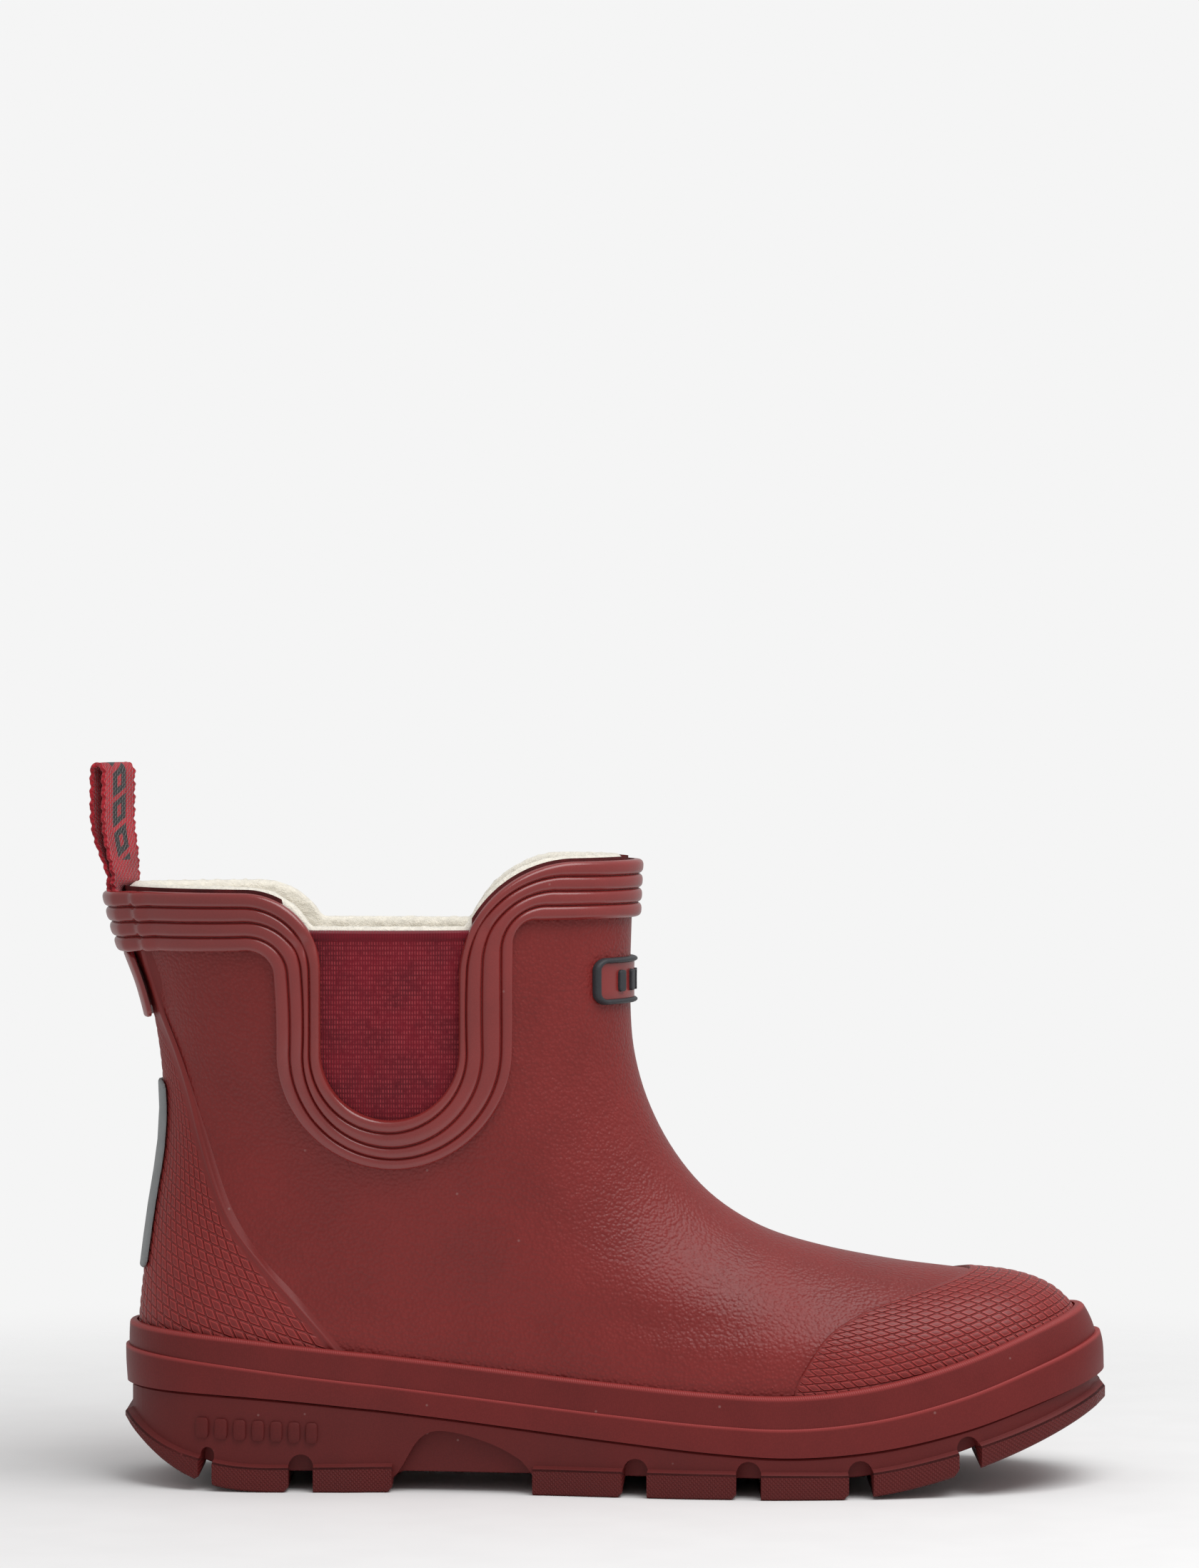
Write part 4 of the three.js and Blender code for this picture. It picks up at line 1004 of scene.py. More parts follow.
@dataclass
class Linings(Part):
    """Pile linings of the leg and the foot, and the felt footbed."""

    pile: float = 4.5
    columns: int = 420
    stiffener_top: float = 78.0
    seam: float = 0.003  # gap between the two linings, as a rise
    bed_lift: float = 2.7

    def build(self) -> None:
        """Leg lining, sock lining and footbed."""
        phi = ring_angles(self.columns)
        top = SKIN.rise(phi, lambda x: np.maximum(edge_height(x, 0.3) + 1.5, GORE_TOP + 1.0))
        leg = self.wall("leg_lining_pile", phi, np.full(self.columns, LINING_SEAM + self.seam), top, 90, 0.3)
        self.add(leg, FLEECE, "pile", "leg_lining")
        foot = SKIN.rise(phi, lambda x: sole_top(x) + 2.8)
        sock = self.wall("sock_lining_pile", phi, foot, np.full(self.columns, LINING_SEAM), 60, 0.25)
        self.add(sock, FLEECE, "pile", "sock_lining")
        bed = self.add(self.footbed("footbed_pad"), FELT, "footbed_felt", "footbed")

    def offset(self, s: Array, z: Array) -> Array:
        """The lining's outer face. It stands off the shell where a stiffener lies behind it."""
        low = 1 - smooth((z - self.stiffener_top) / 14)
        spread = np.maximum(1 - smooth((s - 0.36) / 0.06), smooth((s - 0.62) / 0.06))
        return -2.7 - 1.5 * low * spread

    def wall(self, name: str, phi: Array, low: Array, high: Array, rows: int, shag: float) -> bpy.types.Object:
        """A pile wall with a round top edge, whose inner face is tousled by noise."""
        t = mix(low[:, None], high[:, None], np.linspace(0, 1, rows)[None, :])
        start = SKIN.point(phi[:, None], t)
        outer = self.offset(place_of(phi)[:, None], start[..., 2])
        below = (1 - np.linspace(0, 1, rows)[None, :]) * (start[:, -1:, 2] - start[:, :1, 2])
        curl = np.sqrt(np.clip(1 - (1 - np.clip(below / 2.2, 0, 1)) ** 2, 0, 1))
        middle = outer - self.pile / 2
        half = self.pile / 2 * mix(0.12, 1.0, curl)
        outside = SKIN.layer(phi[:, None], t, middle + half)
        tousle = shag * ripple(start, 7.0, 11, 4) * curl
        inside = SKIN.layer(phi[:, None], t, middle - half + tousle)
        inside[..., 2] += 0.3 * ripple(start, 4.0, 12, 3) * (1 - curl)
        loops = np.concatenate([outside, inside[:, ::-1]], axis=1)
        around = around_mm(phi, 0.6)
        return solid(name, loops, grid_uv(around, np.arange(2 * rows + 1) * 1.0), wrap=True, crease=80)

    def footbed(self, name: str) -> bpy.types.Object:
        """A felt bed whose cross-sections are thin, crowned and cupped at their edges."""
        phi = np.radians(np.linspace(3, 177, 150))
        s = place_of(phi)
        edge = self.offset(s, 0 * s) - self.pile - 0.9 - 2.4 * smooth((s - 0.5) / 0.2)
        left, right = SKIN.plan(phi, edge), SKIN.plan(-phi, edge)
        across = (1 - np.cos(np.linspace(0, math.pi, 30))) / 2
        plan = mix(left[:, None, :], right[:, None, :], across[None, :, None])
        low = sole_top(plan[..., 0]) + self.bed_lift
        crown = 4 * across * (1 - across)
        thick = 4.6 * crown**0.25 + 1.6 * (1 - crown) ** 3 * (crown > 0.02)
        bottom, top = plan.copy(), plan.copy()
        bottom[..., 2] = low
        top[..., 2] = low + np.maximum(thick, 0.6)[None, :] + 0.15 * ripple(plan, 9, 21)
        return solid(name, np.concatenate([top, bottom[:, ::-1]], axis=1), crease=60)


def line_at(knots: Sequence[tuple[float, float]]) -> tuple[Profile, Profile]:
    """A boundary seen from the side: x as a function of z through (x, z) knots, and its slope."""
    xs, zs = zip(*knots)
    return (
        lambda z: through(zs, np.array(xs), z),
        lambda z: (through(zs, np.array(xs), z + 0.2) - through(zs, np.array(xs), z - 0.2)) / 0.4,
    )


@dataclass
class Overlay(Part):
    """A knurled sheet over one end of the shell, bounded by a line seen from the side."""

    name: str
    node: str
    line: Sequence[tuple[float, float]]
    at_toe: bool
    top_rise: float
    columns: int
    rows: int
    bead: float
    margin: float
    relief: float
    thick: float = 0.62

    def build(self) -> None:
        """The sheet, from its free edge on one side round the end of the foot to the other side."""
        x_at, slope_at = line_at(self.line)
        centre = math.pi if self.at_toe else 0.0
        rise = np.linspace(0, self.top_rise, self.rows)
        half = self.half_angle(x_at, rise)
        share = np.linspace(-1, 1, self.columns)
        phi = centre + share[:, None] * half[None, :]
        t = np.broadcast_to(rise[None, :], phi.shape)
        base = SKIN.point(phi, t)
        x, z = base[..., 0], base[..., 2]
        edge = np.abs(x - x_at(z)) / np.sqrt(1 + slope_at(z) ** 2)
        edge = np.where(np.abs(share)[:, None] > 0.9999, 0.0, edge)
        lip = np.sqrt(np.clip(1 - (1 - np.clip(edge / 0.7, 0, 1)) ** 2, 0, 1))
        height = 0.1 + self.thick * mix(0.35, 1, lip) + self.bead * bell(edge, 0.75, 0.5)
        column, row = self.cells(phi, base, centre)
        strength = smooth((edge - self.margin) / 0.9) * self.fade(base[..., 2])
        outside = SKIN.layer(phi, t, height + self.relief * strength * pad(column % 1) * pad(row % 1))
        few = np.linspace(0, self.rows - 1, 12).astype(int)[::-1]
        loops = np.concatenate([outside, SKIN.layer(phi[:, few], t[:, few], 0.05)], axis=1)
        uv = np.stack([column, row], axis=-1)
        uv = np.concatenate([uv, uv[:, few], uv[:, :1]], axis=1)
        mask = np.concatenate([strength, 0 * strength[:, few]], axis=1)
        self.add(solid(self.name, loops, uv, crease=75, relief=mask), KNURLED, "shell_rubber", self.node)

    def half_angle(self, x_at: Profile, rise: Array) -> Array:
        """Angle from the end of the foot to the boundary at each rise."""
        sign = 1 if self.at_toe else -1

        def inside(angle: Array) -> Array:
            """Whether the sheet still covers this angle."""
            p = SKIN.point((math.pi if self.at_toe else 0.0) - angle, rise)
            return sign * (p[..., 0] - x_at(p[..., 2])) > 0

        return np.maximum(solve(inside, rise.shape, 0.0, 2.4), 0.006)

    def cells(self, phi: Array, base: Array, centre: float) -> tuple[Array, Array]:
        """Column and row of the scale at each point, with a whole number between two scales."""
        raise NotImplementedError

    def fade(self, z: Array) -> Array:
        """Strength of the scales over height."""
        return np.ones(z.shape)


def pad(fraction: Array) -> Array:
    """A flat-topped bump over one cell: 1 - |2f - 1| ^ 3."""
    return 1 - np.abs(2 * fraction - 1) ** 3


def girth(phi: Array, t: float, centre: float) -> Array:
    """Signed arc length round the boot from its centre line at one rise, in mm."""
    table = centre + np.linspace(-2.6, 2.6, 600)
    points = SKIN.point(table, t)
    along = np.concatenate([[0], np.cumsum(np.linalg.norm(np.diff(points, axis=0), axis=1))])
    return np.interp(phi, table, along - np.interp(centre, table, along))


@dataclass
class ToeCap(Overlay):
    """Toe cap with slanted scales in rows that follow the foxing."""

    scale_wide: float = 3.0
    scale_high: float = 2.25
    slant: float = 30.0
    turn: float = 90.0

    def cells(self, phi: Array, base: Array, centre: float) -> tuple[Array, Array]:
        """Scales are cells of u by v, u running round the toe and v up from the sole.

        The columns lean away from the toe's tip by slant * tanh(v / slant) * tanh(u / turn).
        """
        u = girth(phi, 0.05, centre)
        v = np.linalg.norm(base - SKIN.point(phi, 0.0), axis=-1)
        column = (u - self.slant * np.tanh(v / self.slant) * np.tanh(u / self.turn)) / self.scale_wide
        return column, v / self.scale_high


@dataclass
class HeelCounter(Overlay):
    """Heel counter with steep scales that fade towards the top."""

    scale_wide: float = 2.4
    scale_high: float = 3.1
    lean: float = 0.42
    turn: float = 45.0
    bend: float = 12.0

    def cells(self, phi: Array, base: Array, centre: float) -> tuple[Array, Array]:
        """Cells between steep lines and shallow ones, which meet smoothly at the back.

        Columns are u + lean (z - 60) tanh(u / turn) and rows z + lean u tanh(u / bend), over the scale's size.
        """
        u, z = girth(phi, 0.3, centre), base[..., 2]
        column = (u + self.lean * (z - 60) * np.tanh(u / self.turn)) / self.scale_wide
        return column, (z + self.lean * u * np.tanh(u / self.bend)) / self.scale_high

    def fade(self, z: Array) -> Array:
        """Full at the base, and half as strong at the top."""
        return 1 - 0.55 * smooth((z - 62) / 80)


@dataclass
class CollarBand(Part):
    """The ribbed band that follows the top line and drops round each gore."""

    columns: tuple[int, ...] = (70, 34, 26, 96, 40, 60, 44)
    rib_points: int = 17
    base: float = 0.95
    rib: float = 1.55
    # Back centre, corner's start and end, gore's side, bottom and other side, corner's start and end, front centre.
    stations = tuple(range(9))
    grooves = (
        (4.1, 4.1, 3.1, 3.0, 3.4, 2.0, 2.0, 4.1, 4.1),
        (8.25, 8.25, 5.2, 4.8, 7.6, 6.4, 6.4, 8.25, 8.25),
        (12.4, 12.4, 9.2, 8.5, 10.8, 11.6, 11.6, 12.4, 12.4),
    )
    widths = (16.5, 16.5, 13.2, 12.4, 14.0, 14.8, 15.0, 16.5, 16.5)

    def build(self) -> None:
        """One closed ring: the lateral half from back to front, then the medial half from front to back."""
        lateral = self.half(Side.LATERAL)
        medial = self.half(Side.MEDIAL)[::-1]
        loops = np.concatenate([lateral, medial])
        band = solid("collar_band_ribs", loops, wrap=True, crease=60)
        self.add(band, BAND, "shell_rubber", "collar_band")

    def across(self, station: Array) -> tuple[Array, Array]:
        """Distance from the free edge and rib height from 0 to 1, for each column."""
        lines = [np.zeros_like(station)] + [through(self.stations, g, station) for g in self.grooves]
        lines.append(through(self.stations, self.widths, station))
        u = np.sin(np.linspace(-1, 1, self.rib_points) * math.pi / 2)
        u[[0, -1]] = [-0.985, 0.985]
        insets, heights = [], []
        for low, high in zip(lines[:-1], lines[1:]):
            insets.append((low + high)[:, None] / 2 + (high - low)[:, None] / 2 * u[None, :])
            heights.append(np.broadcast_to((1 - np.abs(u) ** 2.8) ** 0.5, insets[-1].shape))
        return np.concatenate(insets, axis=1), np.concatenate(heights, axis=1)

    def half(self, side: Side) -> Array:
        """Cross-sections of one half, from the back centre to the front centre."""
        parts = []
        for segment, count in enumerate(self.columns):
            last = segment == len(self.columns) - 1
            f = (np.arange(count) + (0.5 if segment == 0 else 0.0)) / (count if not last else count - 0.5)
            # The round bottom spans two stations, the others one.
            start, length = (segment, 1) if segment < 3 else ((3, 2) if segment == 3 else (segment + 1, 1))
            station = start + f * length
            inset, height = self.across(station)
            phi, t = self.locate(segment, f[:, None], inset, side)
            parts.append(self.section(phi, t, height, station))
        return np.concatenate(parts)

    def locate(self, segment: int, f: Array, inset: Array, side: Side) -> tuple[Array, Array]:
        """Ring angle and rise at share f of one stretch of the band, at a distance from its free edge."""
        back, front, reach = corners(inset)
        left, right = GORE_MIDDLE - reach - back, GORE_MIDDLE + reach + front
        low_left, low_right = TOP_BACK - inset - back, TOP_FRONT - inset - front
        if segment in (0, 6):
            level = TOP_BACK - inset if segment == 0 else TOP_FRONT - inset
            corner, _ = SKIN.find(left if segment == 0 else right, level, Side.LATERAL)
            phi = corner * f if segment == 0 else mix(corner, math.pi, f)
            t = solve(lambda k: SKIN.point(phi, k)[..., 2] < level, phi.shape)
            return side.angle(phi), t
        turn = math.pi * f
        x, z = {
            1: lambda: (left + back * np.cos((math.pi - turn) / 2), low_left + back * np.sin((math.pi - turn) / 2)),
            2: lambda: (GORE_MIDDLE - reach + 0 * f, mix(low_left, GORE_CENTRE, f)),
            3: lambda: (GORE_MIDDLE - reach * np.cos(turn), GORE_CENTRE - reach * np.sin(turn)),
            4: lambda: (GORE_MIDDLE + reach + 0 * f, mix(GORE_CENTRE, low_right, f)),
            5: lambda: (right - front * np.cos(turn / 2), low_right + front * np.sin(turn / 2)),
        }[segment]()
        return SKIN.find(*np.broadcast_arrays(x, z), side)

    def section(self, phi: Array, t: Array, height: Array, station: Array) -> Array:
        """Closed cross-sections: the ribs outside and a plain face inside."""
        start = SKIN.point(phi, t)
        s, y = place_of(phi), np.abs(start[..., 1])
        bulge = 1.3 * (1 - smooth((y - 18) / 4)) + 1.1 * (1 - smooth((y - 11) / 4)) - 0.75 * bell(y, 16.5, 1.5)
        lift = np.where(s < 0.5, bulge, 0.0)
        pinch = 0.6 * bell(station, 1.75, 0.09) + 0.5 * bell(station, 6.3, 0.1)
        inner_ribs = np.arange(height.shape[1]) < 2 * self.rib_points
        wobble = 0.08 * ripple(start, 16, 31)
        body = self.base + self.rib * height * (1 - pinch[:, None] * inner_ribs[None, :]) + wobble
        outside = SKIN.layer(phi, t, 0.25 + lift + body)
        picks = np.linspace(0, height.shape[1] - 1, 8).astype(int)
        inside = SKIN.layer(phi[:, picks], t[:, picks], 0.15 + lift[:, picks])
        return np.concatenate([outside, inside[:, ::-1]], axis=1)


@dataclass
class Strips(Part):
    """The foxing and the bumper: rubber strips wound round the upper's lower edge."""

    foxing_height: float = 17.0
    bumper_height: float = 8.0
    bumper_swell: float = 0.9
    columns: int = 720
    places = (0, 60, 190, 265, 284)
    foxing_share = (1.04, 0.92, 1.0, 1.21, 1.22)
    bumper_share = (1.32, 0.9, 1.0, 1.3, 1.42)

    def build(self) -> None:
        """Both strips."""
        foxing = self.strip(
            "foxing_band", inner=0.3, outer=2.2, height=self.foxing_height, shares=self.foxing_share, edge=1.0, rows=22
        )
        self.add(foxing, FOXING, "sole_rubber", "foxing_strip")
        bumper = self.strip(
            "bumper_band",
            inner=2.1,
            outer=2.75,
            height=self.bumper_height,
            shares=self.bumper_share,
            edge=0.3,
            rows=14,
            swell=self.bumper_swell,
        )
        self.add(bumper, BUMPER, "sole_rubber", "bumper_strip")

    def strip(
        self,
        name: str,
        inner: float,
        outer: float,
        height: float,
        shares: tuple[float, ...],
        edge: float,
        rows: int,
        swell: float = 0.0,
    ) -> bpy.types.Object:
        """A wall up to a height above the sole, with a quarter-round top edge. It swells at the toe and the heel."""
        phi = ring_angles(self.columns)
        lift = lift_at(place_of(phi))[:, None]
        turn = np.linspace(0, math.pi / 2, 7)
        wall = np.linspace(1, 0, rows, endpoint=False) * (height - edge) + edge
        drop = np.concatenate([wall, edge * (1 - np.sin(turn)), [0.0, height / 2, height]])
        face = np.concatenate([np.full(rows, outer), outer - edge + edge * np.cos(turn), [inner, inner, inner]])
        ring = np.broadcast_to(phi[:, None], (self.columns, len(drop)))
        bow = 0.12 * np.sin(np.clip(drop / height, 0, 1) * math.pi) * (face > outer - 0.01)
        s = place_of(phi)[:, None]
        ends = np.maximum(smooth((s - 0.9) / 0.09), 0.6 * (1 - smooth((s - 0.02) / 0.06)))
        offset = lift + face[None, :] + bow[None, :] + swell * ends * (face[None, :] > inner)

        def level(x: Array) -> Array:
            """Height of each row of the strip over x."""
            full = height * through(self.places, np.array(shares), x)
            return sole_top(x) + np.maximum(full - drop[None, :] * full / height, 0.0)

        t = SKIN.rise(ring, level, offset)
        loops = SKIN.layer(ring, t, offset)
        loops = evened(loops)
        v = np.concatenate([drop, np.full(loops.shape[1] + 1 - len(drop), height)])
        return solid(name, loops, grid_uv(around_mm(phi, 0.05), v), wrap=True, crease=50)


def lift_at(s: Array) -> Array:
    """How much the cap and the counter lift what lies over them, at a place along the foot."""
    heel = 1 - smooth((s - 0.215) / 0.05)
    toe = smooth((s - 0.61) / 0.05)
    return OVERLAY_LIFT * np.maximum(heel, toe)


@dataclass
class Outsole(Part):
    """The moulded outsole with its flanged tread, channels, notches and waist."""

    chamfer: float = 1.3
    seam: float = 0.02  # spacing of the doubled columns that make upright channel walls
    centre_half: float = 4.5
    sipe_depth: float = 1.6
    flange_rows: int = 5  # rows of each side that lie on the flange, which is hatched
    bars: int = 7
    bar_start: float = 26.0
    bar_pitch: float = 5.0

    def build(self) -> None:
        """The sole and the plain bars on its heel wall."""
        loops, uv = self.sections()
        self.add(solid("outsole_tread", loops, uv, crease=38), TREAD, "sole_rubber", "outsole")
        for index in range(self.bars):
            self.add(self.bar(index), SOLE, "sole_rubber")

    def stations(self) -> Array:
        """x of the cross-sections: an even run with doubled columns at the channels and the waist."""
        walls = [x + side * width / 2 for x, width in CHANNELS for side in (-1, 1)] + list(WAIST)
        chamfered = [wall + side * self.chamfer for wall in walls for side in (-1, 1)]
        doubled = [wall + side * self.seam / 2 for wall in walls for side in (-1, 1)]
        inner = [x + width / 2 * math.sin(a) for x, width in CHANNELS for a in np.linspace(-1.4, 1.4, 9)]
        ends = SOLE_LENGTH / 2 * (1 - np.cos(np.linspace(0, math.pi, 26)))
        even = np.arange(3.0, SOLE_LENGTH - 3.0, 1.6)
        far = np.min(np.abs(even[:, None] - np.array(walls)[None, :]), axis=1)
        every = np.concatenate([even[far > 0.5], ends[[1, 2, -3, -2]], doubled, inner, chamfered])
        every = np.unique(np.round(every, 4))
        close = np.concatenate([[1.0], np.diff(every)]) < self.seam * 0.9
        return every[~close]

    def sections(self) -> tuple[Array, Array]:
        """Closed cross-sections from heel to toe, and their UV in mm."""
        turn = np.radians(np.linspace(0.4, 179.6, 1500))
        s = place_of(turn)
        flange = WALL_OFFSET + lift_at(s) + FLANGE_STEP
        x = self.stations()
        columns = []
        for sign in (1, -1):
            table = SKIN.plan(sign * turn, flange)
            low, high = table[0, 0] + 0.05, table[-1, 0] - 0.05
            reach = np.interp(x, [0, SOLE_LENGTH], [low, high])
            columns.append(self.side(sign * np.interp(reach, table[:, 0], turn), x))
        lateral, medial = columns
        bottom = self.bottom(lateral[:, -1], medial[:, -1], x)
        top = self.top(medial[:, 0], lateral[:, 0], x)
        loops = np.concatenate([lateral, bottom, medial[:, ::-1], top], axis=1)
        loops = evened(loops)
        down = np.cumsum(np.linalg.norm(np.diff(loops, axis=1, prepend=loops[:, :1]), axis=2), axis=1)
        down = np.concatenate([down, down[:, -1:]], axis=1)
        uv = np.stack([np.broadcast_to(x[:, None], down.shape), down], axis=-1)
        plain = lateral.shape[1] - self.flange_rows
        uv[:, :plain] = 0.0
        uv[:, loops.shape[1] - top.shape[1] - plain - 1:] = 0.0
        return loops, uv

    @staticmethod
    def channel_at(x: Array) -> tuple[Array, Array]:
        """Whether x lies in a channel, and the height of the notch's round top there."""
        inside = np.zeros(x.shape, bool)
        top = np.zeros(x.shape)
        for middle, width in CHANNELS:
            here = np.abs(x - middle) < width / 2
            crown = float(tread_low(middle) + tread_edge(middle)) + 4.0 - width / 2
            arch = crown + np.sqrt(np.maximum((width / 2) ** 2 - (x - middle) ** 2, 0))
            inside, top = inside | here, np.where(here, arch, top)
        return inside, top

    def side(self, phi: Array, x: Array) -> Array:
        """Points down one side, from the top rim to the tread's lower edge."""
        s = place_of(phi)
        wall = WALL_OFFSET + lift_at(s)
        rim = sole_top(x) - RIM_DROP
        low, edge = tread_low(x), tread_low(x) + tread_edge(x)
        channel, notch = self.channel_at(x)
        waist = (x > WAIST[0]) & (x < WAIST[1])
        arch = through([78.6, 80.5, 86, 92, 105, 115, 118.5], np.array([4, 6, 15, 17.5, 14.6, 9.5, 5]), x)
        cut = channel | waist
        ceiling = np.where(waist, arch, notch)
        ceiling = np.where(cut, np.minimum(ceiling, rim - 0.8), edge + 2.2)
        foot = np.where(cut, low + LUG_DEPTH, edge + 1.0)
        foot = np.where(waist, np.minimum(foot, ceiling - 0.4), foot)
        wall_low = np.where(cut, wall - NOTCH_DEPTH, wall)
        bevel = self.bevel(x)
        rows = [(wall - 0.5, rim), (wall, rim - 0.5)]
        rows += [(wall, mix(rim - 0.5, ceiling + 0.02, k)) for k in (0.2, 0.4, 0.6, 0.8, 1.0)]
        rows += [(wall_low, ceiling - 0.02), (wall_low, mix(ceiling, foot, 0.4)), (wall_low, mix(ceiling, foot, 0.8))]
        out = np.where(cut, wall_low, wall + FLANGE_STEP)
        base = np.where(cut, foot, low + bevel)
        upper = np.where(cut, foot, edge)
        rows += [(np.where(cut, wall_low, wall + 0.3), np.where(cut, foot + 0.3, edge + 1.0))]
        rows += [(np.where(cut, wall_low, out - 0.45), np.where(cut, foot + 0.2, upper + 0.45))]
        rows += [(out, np.where(cut, foot + 0.15, upper - 0.1))]
        rows += [(out, mix(upper, base, 0.35)), (out, mix(upper, base, 0.75))]
        rows += [(np.where(cut, wall_low, out - 0.15), np.where(cut, foot + 0.05, base + 0.55))]
        rows += [(np.where(cut, wall_low, out - 0.8), base)]
        points = [SKIN.plan(phi, offset) for offset, _ in rows]
        for point, (_, height) in zip(points, rows):
            point[:, 2] = height
        return np.stack(points, axis=1)

    def bevel(self, x: Array) -> Array:
        """Chamfer of each lug's front lower corner."""
        fronts = np.array([middle - width / 2 for middle, width in CHANNELS] + [WAIST[0]])
        gap = np.min(np.where(fronts[None, :] - x[:, None] >= 0, fronts[None, :] - x[:, None], 99.0), axis=1)
        return np.clip(1 - gap / self.chamfer, 0, 1) * self.chamfer

    def bottom(self, left: Array, right: Array, x: Array) -> Array:
        """The tread's underside between its two edges, with the centre groove and a shallow sipe on each lug."""
        half = np.minimum(self.centre_half, 0.4 * (right[:, 1] - left[:, 1]) / 2)
        e = self.seam
        out = np.linspace(0, 1, 9)[1:]
        ys = [mix(left[:, 1], -half - e, k) for k in out] + [mix(-half, half, k) for k in (0, 0.5, 1.0)]
        ys += [mix(half + e, right[:, 1], k) for k in np.linspace(0, 1, 9)[:-1]]
        y = np.stack(ys, axis=1)
        share = (y - left[:, 1:2]) / np.maximum(right[:, 1:2] - left[:, 1:2], 1e-6)
        xs = mix(left[:, :1], right[:, :1], share)
        channel, _ = self.channel_at(x)
        waist = (x > WAIST[0]) & (x < WAIST[1])
        low = (tread_low(x) + self.bevel(x))[:, None]
        groove = (np.abs(y) < half[:, None] + e / 2) & (x[:, None] > 20) & (x[:, None] < 255)
        cut = (channel | waist)[:, None] | groove
        z = np.where(cut, (tread_low(x) + LUG_DEPTH)[:, None], low)
        edge_gap = np.minimum(y - left[:, 1:2], right[:, 1:2] - y)
        sipe = bell(x[:, None] - self.sipe_line(x)[:, None], 0.05 * np.abs(y), 0.9)
        z = z + np.where(cut, 0.0, self.sipe_depth * sipe * smooth((edge_gap - 4) / 3))
        return np.stack([xs, y, z], axis=-1)

    @staticmethod
    def sipe_line(x: Array) -> Array:
        """x of the sipe nearest to a cross-section: one in the middle of each lug."""
        lines = np.array([39.5, 66.0, 133.0, 163.0, 195.0, 226.5, 259.0])
        return lines[np.argmin(np.abs(x[:, None] - lines[None, :]), axis=1)]

    @staticmethod
    def top(right: Array, left: Array, x: Array) -> Array:
        """The top face, with a cavity under the heel and waist for the filler."""
        width = left[:, 1] - right[:, 1]
        hollow = (x > 4) & (x < 150) & (np.abs(width) > 30)
        inset = 11.3 / np.maximum(np.abs(width), 23)
        step = 0.001
        near, far = [(inset, False), (inset + step, True)], [(1 - inset - step, True), (1 - inset, False)]
        points = []
        for share, deep in near + [(0.5 + 0 * x, True)] + far:
            p = mix(right, left, share[:, None])
            p[:, 2] = np.where(hollow & deep, tread_low(x) + CORE_FLOOR, sole_top(x) - RIM_DROP)
            points.append(p)
        return np.stack(points, axis=1)

    def bar(self, index: int) -> bpy.types.Object:
        """A plain raised bar on the lateral heel wall: a rounded block whose outline is a superellipse."""
        middle = self.bar_start + index * self.bar_pitch
        level = 17.9 - 0.04 * (middle - self.bar_start)
        turn = np.linspace(0, 2 * math.pi, 24, endpoint=False)
        x = middle + 1.7 * squared(np.cos(turn), 0.5)
        z = level + 2.9 * squared(np.sin(turn), 0.5)
        table = np.radians(np.linspace(10, 90, 400))
        xs = SKIN.plan(table, np.zeros(400))[:, 0]
        loops = []
        for size, proud in ((0.3, 1.0), (0.86, 1.0), (1.0, 0.75), (1.0, -0.6), (0.3, -0.6)):
            phi = np.interp(mix(middle, x, size), xs, table)
            p = SKIN.plan(phi, WALL_OFFSET + lift_at(place_of(phi)) + proud)
            p[:, 2] = mix(level, z, size)
            loops.append(p)
        return solid(f"heel_wall_bar_{index + 1}", np.stack(loops), crease=50)


def rounded_box(width: float, height: float, corner: float, inset: float, count: int) -> Array:
    """Points (y, z) of a rounded rectangle about the origin, drawn in by an inset, in equal numbers a corner."""
    corner = max(corner - inset, 0.3)
    half_y, half_z = width / 2 - inset - corner, height / 2 - inset - corner
    sides = []
    for index, (sy, sz) in enumerate(((1, 1), (-1, 1), (-1, -1), (1, -1))):
        a = math.pi / 2 * index + np.linspace(0, math.pi / 2, count // 8)
        arc = np.stack([sy * half_y + corner * np.cos(a), sz * half_z + corner * np.sin(a)], axis=-1)
        ny, nz = ((-1, 1), (-1, -1), (1, -1), (1, 1))[index]
        after = np.array([ny * half_y, nz * half_z]) + corner * np.array([math.cos(a[-1]), math.sin(a[-1])])
        line = mix(arc[-1], after, (np.arange(count // 8)[:, None] + 1) / (count // 8 + 1))
        sides += [arc, line]
    return np.concatenate(sides)


@dataclass(frozen=True)
class Plate:
    """A rounded plate's sizes, the height of its middle and how far out its back and its face lie."""

    width: float
    height: float
    corner: float
    middle: float
    low: float
    high: float
    front: bool = False
    aside: float = 0.0
    ragged: float = 0.0


